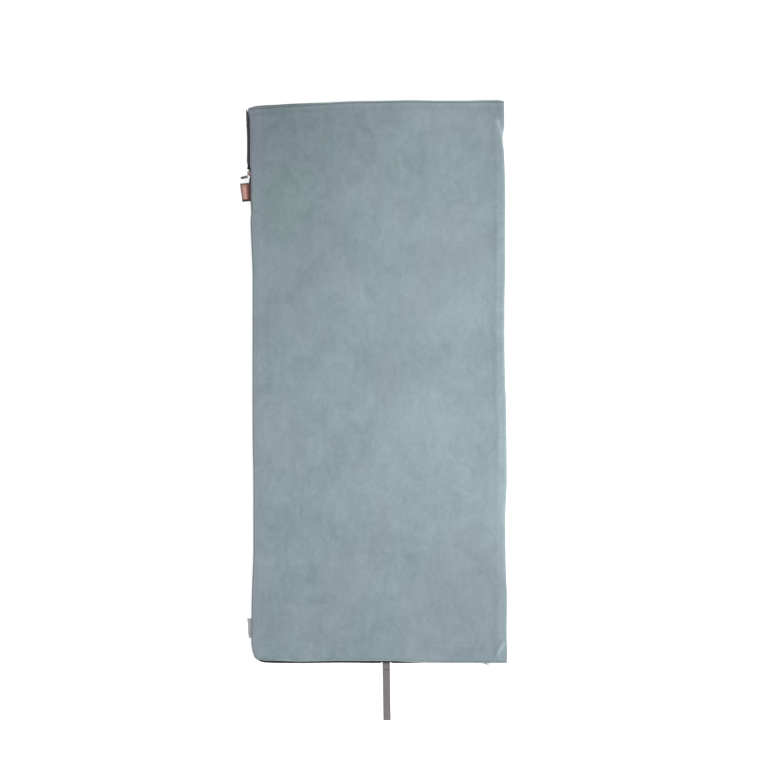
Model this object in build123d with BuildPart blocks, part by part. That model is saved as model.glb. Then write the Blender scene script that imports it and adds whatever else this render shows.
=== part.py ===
from build123d import *
import os
from math import cos, radians, sin

# A zip-up fleece blanket lying closed and flat: a base panel and a cover panel, joined by the
# fold along +X and closed by a coil zip down the -X side and round the foot. Millimetres.
# +X runs from the zip to the fold, +Y towards the head, +Z up. The origin is the centre of
# the underside.

os.makedirs("parts", exist_ok=True)

# Blanket
WIDTH = 838.0
LENGTH = 1840.0
THICK = 22.0
CORNER_R = 50.0
OUTER_T = 2.5
WADDING_T = 6.0
LINING_T = 2.0
LAYER_GAP = 0.1
MID_GAP = 0.3
HEM_DEPTH = 25.0
FILL_INSET = 8.0
LIP_H = 4.0
PAST = 6.0

# Zip: w is the distance outwards from the panel's edge face
TAPE_T = 0.8
TAPE_W = 2.0
TAPE_FOOT_Z = 3.2
TAPE_EDGE = 1.0
COIL_W = 2.45
COIL_T = 2.55
COIL_HALF = 3.75
COIL_GAP = 0.05
SPREAD = 1.6
TAPE_END_Y = 886.0
TAPE_END_X = 368.0
TWIST_LENGTH = 42.0
OPEN_TAPE = 12.4
STOP_LENGTH = 5.0
STOP_ROUND = 0.8

# Sliders, at rest
HEAD_SLIDER_Y = 683.0
FOOT_SLIDER_X = 356.0
SLIDER_LENGTH = 19.0
SLIDER_REAR = 5.1
SLIDER_FRONT = 6.7
FLANGE_T = 0.9
PLATE_T = 2.2
PLATE_ROUND = 2.0
OUTER_PLATE_W = 5.4
INNER_PLATE_W = -0.6
INNER_PLATE_T = 1.7
FLANGE_W = 2.7
DIAMOND_TIP = -2.5
DIAMOND_HALF = 1.3
BRIDGE_LENGTH = 14.0
BRIDGE_HEIGHT = 5.6
BRIDGE_WIDTH = 2.8
BRIDGE_BAR = 3.2
BRIDGE_ROUND = 2.4
PULL_AXIS_W = 8.8
PULL_T = 1.2
PULL_WIDTH = 7.2
RING_LENGTH = 10.5
RING_WIRE = 0.7
RING_END = 2.0
RING_HOLE = 4.4
RING_ROUND = 0.9
TONGUE_LENGTH = 6.0
GRIP_LENGTH = 24.0
GRIP_TURN = 10.0
GRIP_HEIGHT = 7.0
GRIP_WIDTH = 8.5
GRIP_ROUND = 2.4
GRIP_FIT = 0.05
HEAD_PULL_TURN = 58.0
FOOT_PULL_TURN = 84.0
FOOT_TAB_END = 27.0
FOOT_TAB_ROUND = 2.4

# Separating end of the zip
PIN_R = 0.9
PIN_Z = 3.0
PIN_END_X = 386.0
BOX_START_X = 374.0
BOX_END_X = 388.0
BOX_HALF = 5.4
BOX_W = (0.3, 4.6)
BOX_ROUND = 1.2
PIN_PLAY = 0.6
FOOT_SEAM_X = 390.0

# Trims
LOOP_X = 24.6
LOOP_WIDTH = 22.0
LOOP_END_Y = -1115.0
LOOP_START_Y = -925.5
WEB_T = 1.2
WEB_GAP = 0.2
WEB_Z = 0.2
TACK_Y = -950.0
TACK_LENGTH = 3.0
TACK_INSET = 3.0
TACK_T = 0.5
SURFACE_GAP = 0.05
FLAG_SIZE = (36.6, 60.0)
FLAG_Y = 620.0
FLAG_Z = 18.9
LABEL_T = 0.7
PATCH_SHARE = (0.5, 0.7)
PATCH_PLACE = 0.58
PATCH_ROUND = 5.0
PATCH_T = 0.2
CARE_SIZE = (18.0, 66.0)
CARE_Y = -813.0
CARE_Z = 2.3
CARE_T = 0.6

# Worked out from the sizes above
MID_Z = THICK / 2
HALF_TOP = MID_Z - MID_GAP
EDGE_X = -WIDTH / 2
FOOT_Y = -LENGTH / 2
HEAD_Y = LENGTH / 2
FOLD_X = WIDTH / 2 - MID_Z
WADDING_NEAR = OUTER_T + LAYER_GAP
LINING_NEAR = WADDING_NEAR + WADDING_T + LAYER_GAP
SLIDER_HALF = SLIDER_LENGTH / 2
SPREAD_START = -4.0
MID_PLANE = Plane.XY.offset(MID_Z)
HEAD_ZIP = Plane(origin=(EDGE_X, HEAD_SLIDER_Y, MID_Z), x_dir=(0, 1, 0), z_dir=(-1, 0, 0))
FOOT_ZIP = Plane(origin=(FOOT_SLIDER_X, FOOT_Y, MID_Z), x_dir=(1, 0, 0), z_dir=(0, -1, 0))


def layer_profile(near, far):
    """Cross-section of a base layer between two depths, wrapping into the fold."""
    left = EDGE_X - PAST
    with BuildSketch() as profile:
        with BuildLine():
            Line((left, near), (FOLD_X, near))
            CenterArc((FOLD_X, MID_Z), MID_Z - near, 270, 90)
            Line((FOLD_X + MID_Z - near, MID_Z), (FOLD_X + MID_Z - far, MID_Z))
            CenterArc((FOLD_X, MID_Z), MID_Z - far, 0, -90)
            Line((FOLD_X, far), (left, far))
            Line((left, far), (left, near))
        make_face()
    return profile.sketch


def panel_outline(inset, head=HEAD_Y):
    """Plan of a panel pulled in by inset on the zip sides; it runs past the fold."""
    left, foot = EDGE_X + inset, FOOT_Y + inset
    right = WIDTH / 2 + PAST
    radius = CORNER_R - inset
    with BuildSketch() as plan:
        with BuildLine():
            Line((left, head), (left, foot + radius))
            CenterArc((left + radius, foot + radius), radius, 180, 90)
            Line((left + radius, foot), (right, foot))
            Line((right, foot), (right, head))
            Line((right, head), (left, head))
        make_face()
    return plan.sketch


def head_strip(low, high, inset):
    """Plan of a strip across the head end, between two heights along Y."""
    left, right = EDGE_X + inset, WIDTH / 2 + PAST
    with BuildSketch() as plan:
        with Locations(((left + right) / 2, (low + high) / 2)):
            Rectangle(right - left, high - low)
    return plan.sketch


def layer_solid(near, far, plan):
    """A base layer between two depths, cut to a plan and kept below the middle gap."""
    with BuildPart() as layer:
        with BuildSketch(Plane.XZ):
            add(layer_profile(near, far))
        extrude(amount=HEAD_Y + PAST, both=True)
        with BuildSketch(Plane.XY):
            add(plan)
        extrude(amount=HALF_TOP, mode=Mode.INTERSECT)
    return layer.part


def zip_band(near_w, far_w, low, high):
    """A closed run of the zip, from the head slider round the corner to the foot slider."""
    stop_y = HEAD_SLIDER_Y + SPREAD_START
    stop_x = FOOT_SLIDER_X + SPREAD_START
    with BuildPart() as band:
        with BuildSketch(Plane.XY.offset(low)):
            add(panel_outline(-far_w))
            add(panel_outline(-near_w, HEAD_Y + PAST), mode=Mode.SUBTRACT)
            with Locations((EDGE_X, (stop_y + HEAD_Y + PAST) / 2)):
                Rectangle(8 * PAST, HEAD_Y + PAST - stop_y, mode=Mode.SUBTRACT)
            with Locations(((stop_x + WIDTH / 2 + PAST) / 2, FOOT_Y)):
                Rectangle(WIDTH / 2 + PAST - stop_x, 8 * PAST, mode=Mode.SUBTRACT)
        extrude(amount=high - low)
    return band.part


def zip_section(plane, along, w, low, high):
    """Rectangle across the zip at a distance along it: w is its pair of distances out."""
    across = Plane(origin=plane.from_local_coords((along, 0, 0)), x_dir=plane.z_dir, z_dir=plane.x_dir)
    side = 1 if across.y_dir.Z > 0 else -1
    middle = (low + high) / 2 - MID_Z
    with BuildSketch(across) as section:
        with Locations((sum(w) / 2, side * middle)):
            Rectangle(w[1] - w[0], high - low)
    return section.sketch


def zip_spread(plane, w, low, high, low_end, high_end):
    """The stretch inside a slider, where a half of the zip leaves the middle."""
    with BuildPart() as spread:
        first = zip_section(plane, SPREAD_START, w, low, high)
        last = zip_section(plane, SLIDER_HALF, w, low_end, high_end)
        loft([first.face(), last.face()], ruled=True)
    return spread.part


def zip_straight(plane, start, end, w, low, high):
    """A straight stretch of the zip beyond a slider."""
    with BuildPart() as run:
        extrude(zip_section(plane, start, w, low, high), amount=end - start, dir=plane.x_dir)
    return run.part


def turned_section(y, centre, size, turn):
    """Rectangle in the plane at y, turned about its centre; its corners keep their order."""
    corners = []
    for a, b in ((-1, -1), (1, -1), (1, 1), (-1, 1)):
        x, z = a * size[0] / 2, b * size[1] / 2
        corners.append(
            (
                centre[0] + x * cos(radians(turn)) - z * sin(radians(turn)),
                y,
                centre[1] + x * sin(radians(turn)) + z * cos(radians(turn)),
            )
        )
    return Face(Wire.make_polygon([Vector(*c) for c in corners]))


def twisted_run(start, end):
    """Loft that lays a stretch over as it opens: start and end are (centre, size)."""
    y = HEAD_SLIDER_Y + SLIDER_HALF
    middle = [[(p + q) / 2 for p, q in zip(a, b)] for a, b in zip(start, end)]
    with BuildPart() as run:
        faces = [
            turned_section(y, *start, 0),
            turned_section(y + TWIST_LENGTH / 2, *middle, 45),
            turned_section(y + TWIST_LENGTH, *end, 90),
        ]
        loft(faces, ruled=True)
        extrude(faces[-1], amount=TAPE_END_Y - y - TWIST_LENGTH, dir=(0, 1, 0))
    return run.part


# Base panel -----------------------------------------------------------------------------------

with BuildPart() as base_outer_fleece:
    add(layer_solid(0, HALF_TOP, panel_outline(0)))
    add(layer_solid(OUTER_T, MID_Z - LAYER_GAP, panel_outline(OUTER_T, HEAD_Y + PAST)), mode=Mode.SUBTRACT)
    with BuildSketch(Plane.XY.offset(LIP_H)):
        add(panel_outline(-1, HEAD_Y + PAST))
        add(panel_outline(OUTER_T, HEAD_Y + 2 * PAST), mode=Mode.SUBTRACT)
        with Locations(((FOOT_SEAM_X + WIDTH / 2 + PAST) / 2, FOOT_Y)):
            Rectangle(WIDTH / 2 + PAST - FOOT_SEAM_X, 4 * PAST, mode=Mode.SUBTRACT)
    extrude(amount=MID_Z, mode=Mode.SUBTRACT)

with BuildPart() as base_wadding:
    wadding_plan = panel_outline(FILL_INSET, HEAD_Y - OUTER_T - LAYER_GAP)
    add(layer_solid(WADDING_NEAR, WADDING_NEAR + WADDING_T, wadding_plan))

with BuildPart() as base_lining:
    lining_plan = panel_outline(FILL_INSET, HEAD_Y - HEM_DEPTH)
    add(layer_solid(LINING_NEAR, LINING_NEAR + LINING_T, lining_plan))

with BuildPart() as base_head_hem:
    add(layer_solid(WADDING_NEAR, HALF_TOP, head_strip(HEAD_Y - OUTER_T, HEAD_Y, FILL_INSET)))
    add(layer_solid(LINING_NEAR, HALF_TOP, head_strip(HEAD_Y - HEM_DEPTH + LAYER_GAP, HEAD_Y, FILL_INSET)))

# Zip halves, made for the base and mirrored for the cover ------------------------------------

TAPE_SPAN = (TAPE_W - TAPE_T / 2, TAPE_W + TAPE_T / 2)
COIL_SPAN = (COIL_W, COIL_W + COIL_T)
SEAM_SPAN = (LAYER_GAP / 2, TAPE_SPAN[1])
TAPE_TOP = MID_Z - TAPE_EDGE
COIL_TOP = MID_Z - COIL_GAP
COIL_LOW = COIL_TOP - COIL_HALF
SEAM_TOP = TAPE_FOOT_Z + TAPE_T
HEAD_RUN = TAPE_END_Y - HEAD_SLIDER_Y
FOOT_RUN = TAPE_END_X - FOOT_SLIDER_X


def tape_closed():
    """Tape of one half over its closed run and through both sliders."""
    with BuildPart() as tape:
        add(zip_band(*TAPE_SPAN, TAPE_FOOT_Z, TAPE_TOP))
        add(zip_band(*SEAM_SPAN, TAPE_FOOT_Z, SEAM_TOP))
        for plane, run in ((HEAD_ZIP, HEAD_RUN), (FOOT_ZIP, FOOT_RUN)):
            add(zip_spread(plane, TAPE_SPAN, TAPE_FOOT_Z, TAPE_TOP, TAPE_FOOT_Z, TAPE_TOP - SPREAD))
            add(zip_straight(plane, SPREAD_START, run, SEAM_SPAN, TAPE_FOOT_Z, SEAM_TOP))
        add(zip_straight(FOOT_ZIP, SLIDER_HALF, FOOT_RUN, TAPE_SPAN, TAPE_FOOT_Z, TAPE_TOP - SPREAD))
    return tape.part


def coil_closed():
    """Coil of one half over its closed run and through both sliders."""
    with BuildPart() as coil:
        add(zip_band(*COIL_SPAN, COIL_LOW, COIL_TOP))
        for plane in (HEAD_ZIP, FOOT_ZIP):
            add(zip_spread(plane, COIL_SPAN, COIL_LOW, COIL_TOP, COIL_LOW - SPREAD, COIL_TOP - SPREAD))
        add(zip_straight(FOOT_ZIP, SLIDER_HALF, FOOT_RUN, COIL_SPAN, COIL_LOW - SPREAD, COIL_TOP - SPREAD))
    return coil.part


def standing(span, low, high):
    """Centre and size of a zip section standing upright at the left edge."""
    return ((EDGE_X - sum(span) / 2, (low + high) / 2), (span[1] - span[0], high - low))


OPEN_TAPE_X = EDGE_X - TAPE_SPAN[1] - (OPEN_TAPE - TAPE_SPAN[1]) / 2
OPEN_TAPE_SECTION = ((OPEN_TAPE_X, TAPE_FOOT_Z + TAPE_T / 2), (TAPE_T, OPEN_TAPE - TAPE_SPAN[1]))
OPEN_COIL_X = EDGE_X - OPEN_TAPE
OPEN_COIL_SECTION = ((OPEN_COIL_X, TAPE_FOOT_Z - COIL_T / 2 - COIL_GAP), (COIL_T, COIL_HALF))

with BuildPart() as base_zip_tape:
    add(tape_closed())
    add(twisted_run(standing(TAPE_SPAN, TAPE_FOOT_Z, TAPE_TOP - SPREAD), OPEN_TAPE_SECTION))

with BuildPart() as base_zip_coil:
    add(coil_closed())
    add(twisted_run(standing(COIL_SPAN, COIL_LOW - SPREAD, COIL_TOP - SPREAD), OPEN_COIL_SECTION))

with BuildPart() as base_top_stop:
    with Locations((OPEN_COIL_X, TAPE_END_Y + STOP_LENGTH / 2 + LAYER_GAP, TAPE_FOOT_Z - COIL_T / 2)):
        Box(COIL_HALF, STOP_LENGTH, COIL_T)
    fillet(base_top_stop.edges().filter_by(Axis.Y), STOP_ROUND)

with BuildPart() as zip_retainer_box:
    with BuildSketch(Plane.YZ.offset(BOX_START_X)):
        with Locations((FOOT_Y - sum(BOX_W) / 2, MID_Z)):
            RectangleRounded(BOX_W[1] - BOX_W[0], 2 * BOX_HALF, BOX_ROUND)
    extrude(amount=BOX_END_X - BOX_START_X)
    with BuildSketch(Plane.YZ.offset(BOX_START_X)):
        with Locations((FOOT_Y - sum(BOX_W) / 2, MID_Z + PIN_Z + BOX_HALF / 2)):
            Rectangle(2 * PIN_R + PIN_PLAY, BOX_HALF + 2 * PIN_R + PIN_PLAY)
    extrude(amount=PIN_END_X - BOX_START_X + PIN_PLAY, mode=Mode.SUBTRACT)
    with BuildSketch(Plane.YZ.offset(TAPE_END_X + LAYER_GAP)):
        with Locations((FOOT_Y - sum(BOX_W) / 2, MID_Z - PIN_Z)):
            Circle(PIN_R)
    extrude(amount=BOX_START_X - TAPE_END_X)

# Cover panel: the base's pieces mirrored in the middle plane ---------------------------------

with BuildPart() as cover_outer_fleece:
    mirror(base_outer_fleece.part, about=MID_PLANE)

with BuildPart() as cover_wadding:
    mirror(base_wadding.part, about=MID_PLANE)

with BuildPart() as cover_lining:
    mirror(base_lining.part, about=MID_PLANE)

with BuildPart() as cover_head_hem:
    mirror(base_head_hem.part, about=MID_PLANE)

with BuildPart() as upright_tape:
    add(tape_closed())
    add(zip_straight(HEAD_ZIP, SLIDER_HALF, HEAD_RUN, TAPE_SPAN, TAPE_FOOT_Z, TAPE_TOP - SPREAD))

with BuildPart() as upright_coil:
    add(coil_closed())
    add(zip_straight(HEAD_ZIP, SLIDER_HALF, HEAD_RUN, COIL_SPAN, COIL_LOW - SPREAD, COIL_TOP - SPREAD))

with BuildPart() as cover_zip_tape:
    mirror(upright_tape.part, about=MID_PLANE)

with BuildPart() as cover_zip_coil:
    mirror(upright_coil.part, about=MID_PLANE)

with BuildPart() as cover_top_stop:
    with Locations(
        (
            EDGE_X - sum(COIL_SPAN) / 2,
            TAPE_END_Y + STOP_LENGTH / 2 + LAYER_GAP,
            MID_Z + COIL_GAP + SPREAD + COIL_HALF / 2,
        )
    ):
        Box(COIL_T, STOP_LENGTH, COIL_HALF)
    fillet(cover_top_stop.edges().filter_by(Axis.Y), STOP_ROUND)

with BuildPart() as insertion_pin:
    with BuildSketch(Plane.YZ.offset(TAPE_END_X + LAYER_GAP)):
        with Locations((FOOT_Y - sum(BOX_W) / 2, MID_Z + PIN_Z)):
            Circle(PIN_R)
    extrude(amount=PIN_END_X - TAPE_END_X)

# Sliders -------------------------------------------------------------------------------------


def slider_outline(wider=0.0, longer=0.0):
    """Plan of a slider's plate, flared towards the end where the zip parts."""
    end = SLIDER_HALF + longer
    rear, front = SLIDER_REAR + wider, SLIDER_FRONT + wider
    with BuildSketch() as plan:
        Polygon((-end, -rear), (end, -front), (end, front), (-end, rear), align=None)
    return plan.sketch


def slider_body(plane):
    """Slider: an inner and an outer plate, flanges, the dividing diamond and the bridge."""
    with BuildPart() as body:
        for start, thick in ((INNER_PLATE_W, INNER_PLATE_T), (OUTER_PLATE_W, PLATE_T)):
            with BuildSketch(plane.offset(start)) as plate:
                add(slider_outline())
                fillet(plate.vertices(), PLATE_ROUND)
            extrude(amount=thick)
        with BuildSketch(plane.offset(FLANGE_W)) as flanges:
            add(slider_outline())
            fillet(flanges.vertices(), PLATE_ROUND)
            add(slider_outline(-FLANGE_T, PAST), mode=Mode.SUBTRACT)
        extrude(amount=OUTER_PLATE_W - FLANGE_W)
        with BuildSketch(plane.offset(INNER_PLATE_W)):
            diamond = ((DIAMOND_TIP, 0), (SLIDER_HALF, -DIAMOND_HALF), (SLIDER_HALF, DIAMOND_HALF))
            Polygon(*diamond, align=None)
        extrude(amount=OUTER_PLATE_W - INNER_PLATE_W)
        side = Plane(origin=plane.origin, x_dir=plane.x_dir, z_dir=plane.y_dir * -1)
        foot = OUTER_PLATE_W + PLATE_T
        with BuildSketch(side) as bridge:
            with Locations((0, foot + BRIDGE_HEIGHT / 2)):
                Rectangle(BRIDGE_LENGTH, BRIDGE_HEIGHT)
            fillet(bridge.vertices().group_by(Axis.Y)[-1], BRIDGE_ROUND)
            hole = (BRIDGE_LENGTH - 2 * BRIDGE_BAR, BRIDGE_HEIGHT - BRIDGE_BAR)
            with Locations((0, foot + hole[1] / 2)):
                Rectangle(*hole, mode=Mode.SUBTRACT)
        extrude(amount=BRIDGE_WIDTH / 2, both=True)
    return body.part


def pull_plane(plane, turn):
    """Plane of a pull that hangs on the bridge: x along the pull, y up, turned towards the rear."""
    axis = plane.from_local_coords((0, 0, PULL_AXIS_W))
    out, back = plane.z_dir, plane.x_dir * -1
    along = out * cos(radians(turn)) + back * sin(radians(turn))
    return Plane(origin=axis, x_dir=along, z_dir=along.cross(Vector(0, 0, 1)))


def pull_ring():
    """Flat link that goes round the bridge, with a narrower tongue at its far end."""
    hole_end = RING_LENGTH - RING_END
    with BuildSketch() as ring:
        with Locations(((RING_LENGTH - RING_WIRE) / 2, 0)):
            RectangleRounded(RING_LENGTH + RING_WIRE, PULL_WIDTH, RING_ROUND)
        with Locations(((RING_WIRE + hole_end) / 2, 0)):
            Rectangle(hole_end - RING_WIRE, RING_HOLE, mode=Mode.SUBTRACT)
        with Locations(((RING_LENGTH - RING_END / 2 + TONGUE_END) / 2, 0)):
            Rectangle(TONGUE_END - RING_LENGTH + RING_END / 2, RING_HOLE)
    return ring.sketch


HEAD_PULL = pull_plane(HEAD_ZIP, HEAD_PULL_TURN)
FOOT_PULL = pull_plane(FOOT_ZIP, FOOT_PULL_TURN)
TONGUE_END = RING_LENGTH + TONGUE_LENGTH
GRIP_START = RING_LENGTH + LAYER_GAP

with BuildPart() as head_slider_body:
    add(slider_body(HEAD_ZIP))

with BuildPart() as head_pull_link:
    with BuildSketch(HEAD_PULL):
        add(pull_ring())
    extrude(amount=PULL_T / 2, both=True)

with BuildPart() as head_pull_grip:
    hinge_end = HEAD_PULL.from_local_coords((GRIP_START + GRIP_WIDTH / 2, 0, 0))
    along_grip = pull_plane(HEAD_ZIP, GRIP_TURN).x_dir
    with BuildSketch(Plane(origin=hinge_end, x_dir=along_grip, z_dir=(0, 0, 1))):
        with Locations(((GRIP_LENGTH - GRIP_WIDTH) / 2, 0)):
            RectangleRounded(GRIP_LENGTH, GRIP_WIDTH, GRIP_WIDTH / 2 - GRIP_FIT)
    extrude(amount=GRIP_HEIGHT / 2, both=True)
    rims = head_pull_grip.faces().filter_by(Axis.Z).edges()
    fillet(rims, GRIP_ROUND)
    with BuildSketch(HEAD_PULL):
        with Locations((TONGUE_END / 2 + GRIP_FIT, 0)):
            Rectangle(TONGUE_END, RING_HOLE + 2 * GRIP_FIT)
    extrude(amount=PULL_T / 2 + GRIP_FIT, both=True, mode=Mode.SUBTRACT)

with BuildPart() as foot_slider_body:
    add(slider_body(FOOT_ZIP))

with BuildPart() as foot_pull_tab:
    with BuildSketch(FOOT_PULL):
        add(pull_ring())
        with Locations(((RING_LENGTH + FOOT_TAB_END) / 2, 0)):
            RectangleRounded(FOOT_TAB_END - RING_LENGTH, PULL_WIDTH, FOOT_TAB_ROUND)
    extrude(amount=PULL_T / 2, both=True)

# Trims ---------------------------------------------------------------------------------------

with BuildPart() as roll_up_loop:
    with BuildSketch(Plane.YZ.offset(LOOP_X - LOOP_WIDTH / 2)):
        middle = (LOOP_START_Y + LOOP_END_Y) / 2
        with Locations((middle, WEB_Z + WEB_T + WEB_GAP / 2)):
            RectangleRounded(LOOP_START_Y - LOOP_END_Y, 2 * WEB_T + WEB_GAP, WEB_T)
        with Locations((middle + WEB_T, WEB_Z + WEB_T + WEB_GAP / 2)):
            Rectangle(LOOP_START_Y - LOOP_END_Y - 4 * WEB_T, WEB_GAP, mode=Mode.SUBTRACT)
    extrude(amount=LOOP_WIDTH)

with BuildPart() as loop_root:
    root_length = FOOT_Y - LAYER_GAP - LOOP_START_Y - MID_GAP
    with Locations((LOOP_X, FOOT_Y - LAYER_GAP - root_length / 2, WEB_Z + WEB_T + WEB_GAP / 2)):
        Box(LOOP_WIDTH, root_length, 2 * WEB_T + WEB_GAP)

with BuildPart() as loop_bar_tack:
    with BuildSketch(Plane.XY.offset(WEB_Z + 2 * WEB_T + WEB_GAP + SURFACE_GAP)):
        with Locations((LOOP_X, TACK_Y)):
            RectangleRounded(LOOP_WIDTH - TACK_INSET, TACK_LENGTH, WEB_T)
    extrude(amount=TACK_T)

with BuildPart() as flag_label:
    with BuildSketch(Plane.XY.offset(FLAG_Z)):
        with Locations((EDGE_X - LAYER_GAP - FLAG_SIZE[0] / 2, FLAG_Y)):
            Rectangle(*FLAG_SIZE)
    extrude(amount=LABEL_T)

with BuildPart() as flag_label_print:
    with BuildSketch(Plane.XY.offset(FLAG_Z + LABEL_T + SURFACE_GAP)):
        with Locations((EDGE_X - PATCH_PLACE * FLAG_SIZE[0], FLAG_Y)):
            RectangleRounded(PATCH_SHARE[0] * FLAG_SIZE[0], PATCH_SHARE[1] * FLAG_SIZE[1], PATCH_ROUND)
    extrude(amount=PATCH_T)

with BuildPart() as care_label:
    with BuildSketch(Plane.XY.offset(CARE_Z)):
        with Locations((EDGE_X - LAYER_GAP - CARE_SIZE[0] / 2, CARE_Y)):
            Rectangle(*CARE_SIZE)
    extrude(amount=CARE_T)

# Names and files -----------------------------------------------------------------------------

SUB_PARTS = {
    "base_outer_fleece": base_outer_fleece,
    "base_wadding": base_wadding,
    "base_lining": base_lining,
    "base_head_hem": base_head_hem,
    "base_zip_tape": base_zip_tape,
    "base_zip_coil": base_zip_coil,
    "base_top_stop": base_top_stop,
    "zip_retainer_box": zip_retainer_box,
    "cover_outer_fleece": cover_outer_fleece,
    "cover_wadding": cover_wadding,
    "cover_lining": cover_lining,
    "cover_head_hem": cover_head_hem,
    "cover_zip_tape": cover_zip_tape,
    "cover_zip_coil": cover_zip_coil,
    "cover_top_stop": cover_top_stop,
    "insertion_pin": insertion_pin,
    "head_slider_body": head_slider_body,
    "head_pull_link": head_pull_link,
    "head_pull_grip": head_pull_grip,
    "foot_slider_body": foot_slider_body,
    "foot_pull_tab": foot_pull_tab,
    "roll_up_loop": roll_up_loop,
    "loop_root": loop_root,
    "loop_bar_tack": loop_bar_tack,
    "flag_label": flag_label,
    "flag_label_print": flag_label_print,
    "care_label": care_label,
}

for name, sub_part in SUB_PARTS.items():
    sub_part.part.label = name
    export_step(sub_part.part, f"parts/{name}.step")
    print(name, len(sub_part.part.solids()), round(sub_part.part.volume, 1))
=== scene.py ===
import math

import bpy
import numpy as np
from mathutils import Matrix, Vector

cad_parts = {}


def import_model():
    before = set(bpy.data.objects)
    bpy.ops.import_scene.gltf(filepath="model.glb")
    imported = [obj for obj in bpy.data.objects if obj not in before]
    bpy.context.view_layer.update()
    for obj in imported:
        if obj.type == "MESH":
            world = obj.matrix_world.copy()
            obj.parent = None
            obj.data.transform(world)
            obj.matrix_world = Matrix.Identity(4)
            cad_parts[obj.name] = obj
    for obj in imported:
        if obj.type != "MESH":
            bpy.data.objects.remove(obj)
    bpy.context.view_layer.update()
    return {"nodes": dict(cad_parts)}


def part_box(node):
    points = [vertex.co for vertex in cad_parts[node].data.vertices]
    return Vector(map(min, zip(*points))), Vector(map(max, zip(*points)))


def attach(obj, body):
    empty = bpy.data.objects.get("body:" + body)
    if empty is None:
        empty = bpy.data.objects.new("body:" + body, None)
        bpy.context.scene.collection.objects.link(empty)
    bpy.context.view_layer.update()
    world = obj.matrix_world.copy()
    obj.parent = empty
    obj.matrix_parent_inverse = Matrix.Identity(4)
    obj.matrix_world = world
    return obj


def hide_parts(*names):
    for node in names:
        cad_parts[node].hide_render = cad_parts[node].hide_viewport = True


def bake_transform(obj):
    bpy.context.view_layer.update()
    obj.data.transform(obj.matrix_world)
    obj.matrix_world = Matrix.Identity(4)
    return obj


# A zip-up fleece blanket lying closed and flat on a pale floor.
# Lengths are millimetres in the row frame until new_mesh() makes them metres.

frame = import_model()

MM = 0.001


def box_mm(node):
    low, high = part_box(node)
    return np.array(low) / MM, np.array(high) / MM


# Places taken from the frame

PANEL_LOW, PANEL_HIGH = box_mm("cover_outer_fleece")
EDGE_X, FOOT_Y = PANEL_LOW[0], PANEL_LOW[1]
FOLD_X, HEAD_Y, TOP_Z = PANEL_HIGH
MID_Z = TOP_Z / 2
HEAD_SLIDER_LOW, HEAD_SLIDER_HIGH = box_mm("head_slider_body")
HEAD_SLIDER_Y = (HEAD_SLIDER_LOW[1] + HEAD_SLIDER_HIGH[1]) / 2
FOOT_SLIDER_X = box_mm("foot_slider_body")[0][0]
BOX_LOW, BOX_HIGH = box_mm("zip_retainer_box")
TAPE_END_Y = box_mm("base_top_stop")[0][1]
TAPE_END_X = box_mm("insertion_pin")[0][0]
LOOP_LOW, LOOP_HIGH = box_mm("roll_up_loop")
FLAG_LOW, FLAG_HIGH = box_mm("flag_label")
CARE_LOW, CARE_HIGH = box_mm("care_label")

# Sizes chosen here

CORNER_R = 50.0
FLEECE_T = 1.5
LINING_T = 1.1
TAPE_T = 0.7
EDGE_Z = 20.9
STITCH_INSET = 10.0
HEM_INSET = 20.0
EDGE_BACK = 3.0
HEM_BACK = 4.75
HALF_GAP = 0.3
LINING_CLEAR = 1.2
FOLD_RING = 12.0
LINING_RING = 2.4
RING_STEPS = 14
PAD_RISE = 3.4
COIL_PITCH = 2.6
FINE = 2.5
COARSE = 14.0


def smoothstep(value):
    value = np.clip(value, 0.0, 1.0)
    return value * value * (3 - 2 * value)


def ease(value, start, run):
    """Smooth step from 0 at start to 1 a run beyond it; a negative run steps the other way."""
    return smoothstep((value - start) / run)


def mix(a, b, share):
    return a + (b - a) * share


def bell(off, width):
    """Hump of unit height about zero."""
    return np.exp(-((off / width) ** 2))


def narrow_bell(off, deviation):
    """Hump of unit height whose width is its standard deviation."""
    return np.exp(-((off / deviation) ** 2) / 2)


def curve_through(*points):
    """Smooth function through a few (place, value) points, with no overshoot, flat beyond its ends."""
    places, values = np.array(sorted(points), float).T
    secant = np.diff(values) / np.diff(places)
    product = secant[1:] * secant[:-1]
    slopes = np.zeros(len(values))
    slopes[1:-1] = np.where(product > 0, 2 * product / np.where(product > 0, secant[1:] + secant[:-1], 1), 0)

    def value(at):
        at = np.clip(np.asarray(at, float), places[0], places[-1])
        i = np.clip(np.searchsorted(places, at, side="right") - 1, 0, len(places) - 2)
        span = places[i + 1] - places[i]
        t = (at - places[i]) / span
        start = mix(values[i], values[i + 1], (3 - 2 * t) * t * t)
        return start + span * t * (1 - t) * (slopes[i] * (1 - t) - slopes[i + 1] * t)

    return value


def soft_field(seed, shortest, longest, waves=9):
    """Gentle random surface of about unit height, made of a few long waves."""
    rng = np.random.RandomState(seed)
    lengths = rng.uniform(shortest, longest, waves)
    angles = rng.uniform(0, math.pi, waves)
    starts = rng.uniform(0, 2 * math.pi, waves)
    heights = lengths / lengths.max()

    def value(x, y):
        total = 0.0
        for length, angle, start, height in zip(lengths, angles, starts, heights):
            across = x * math.cos(angle) + y * math.sin(angle)
            total = total + height * np.sin(2 * math.pi * across / length + start)
        return total / math.sqrt(waves / 2)

    return value


# The zip's path: s runs from the head down the side, round the corner and along the foot

SIDE_RUN = HEAD_Y - FOOT_Y - CORNER_R
CORNER_RUN = CORNER_R * math.pi / 2


def at_y(y):
    return HEAD_Y - y


def at_x(x):
    return SIDE_RUN + CORNER_RUN + x - (EDGE_X + CORNER_R)


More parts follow.
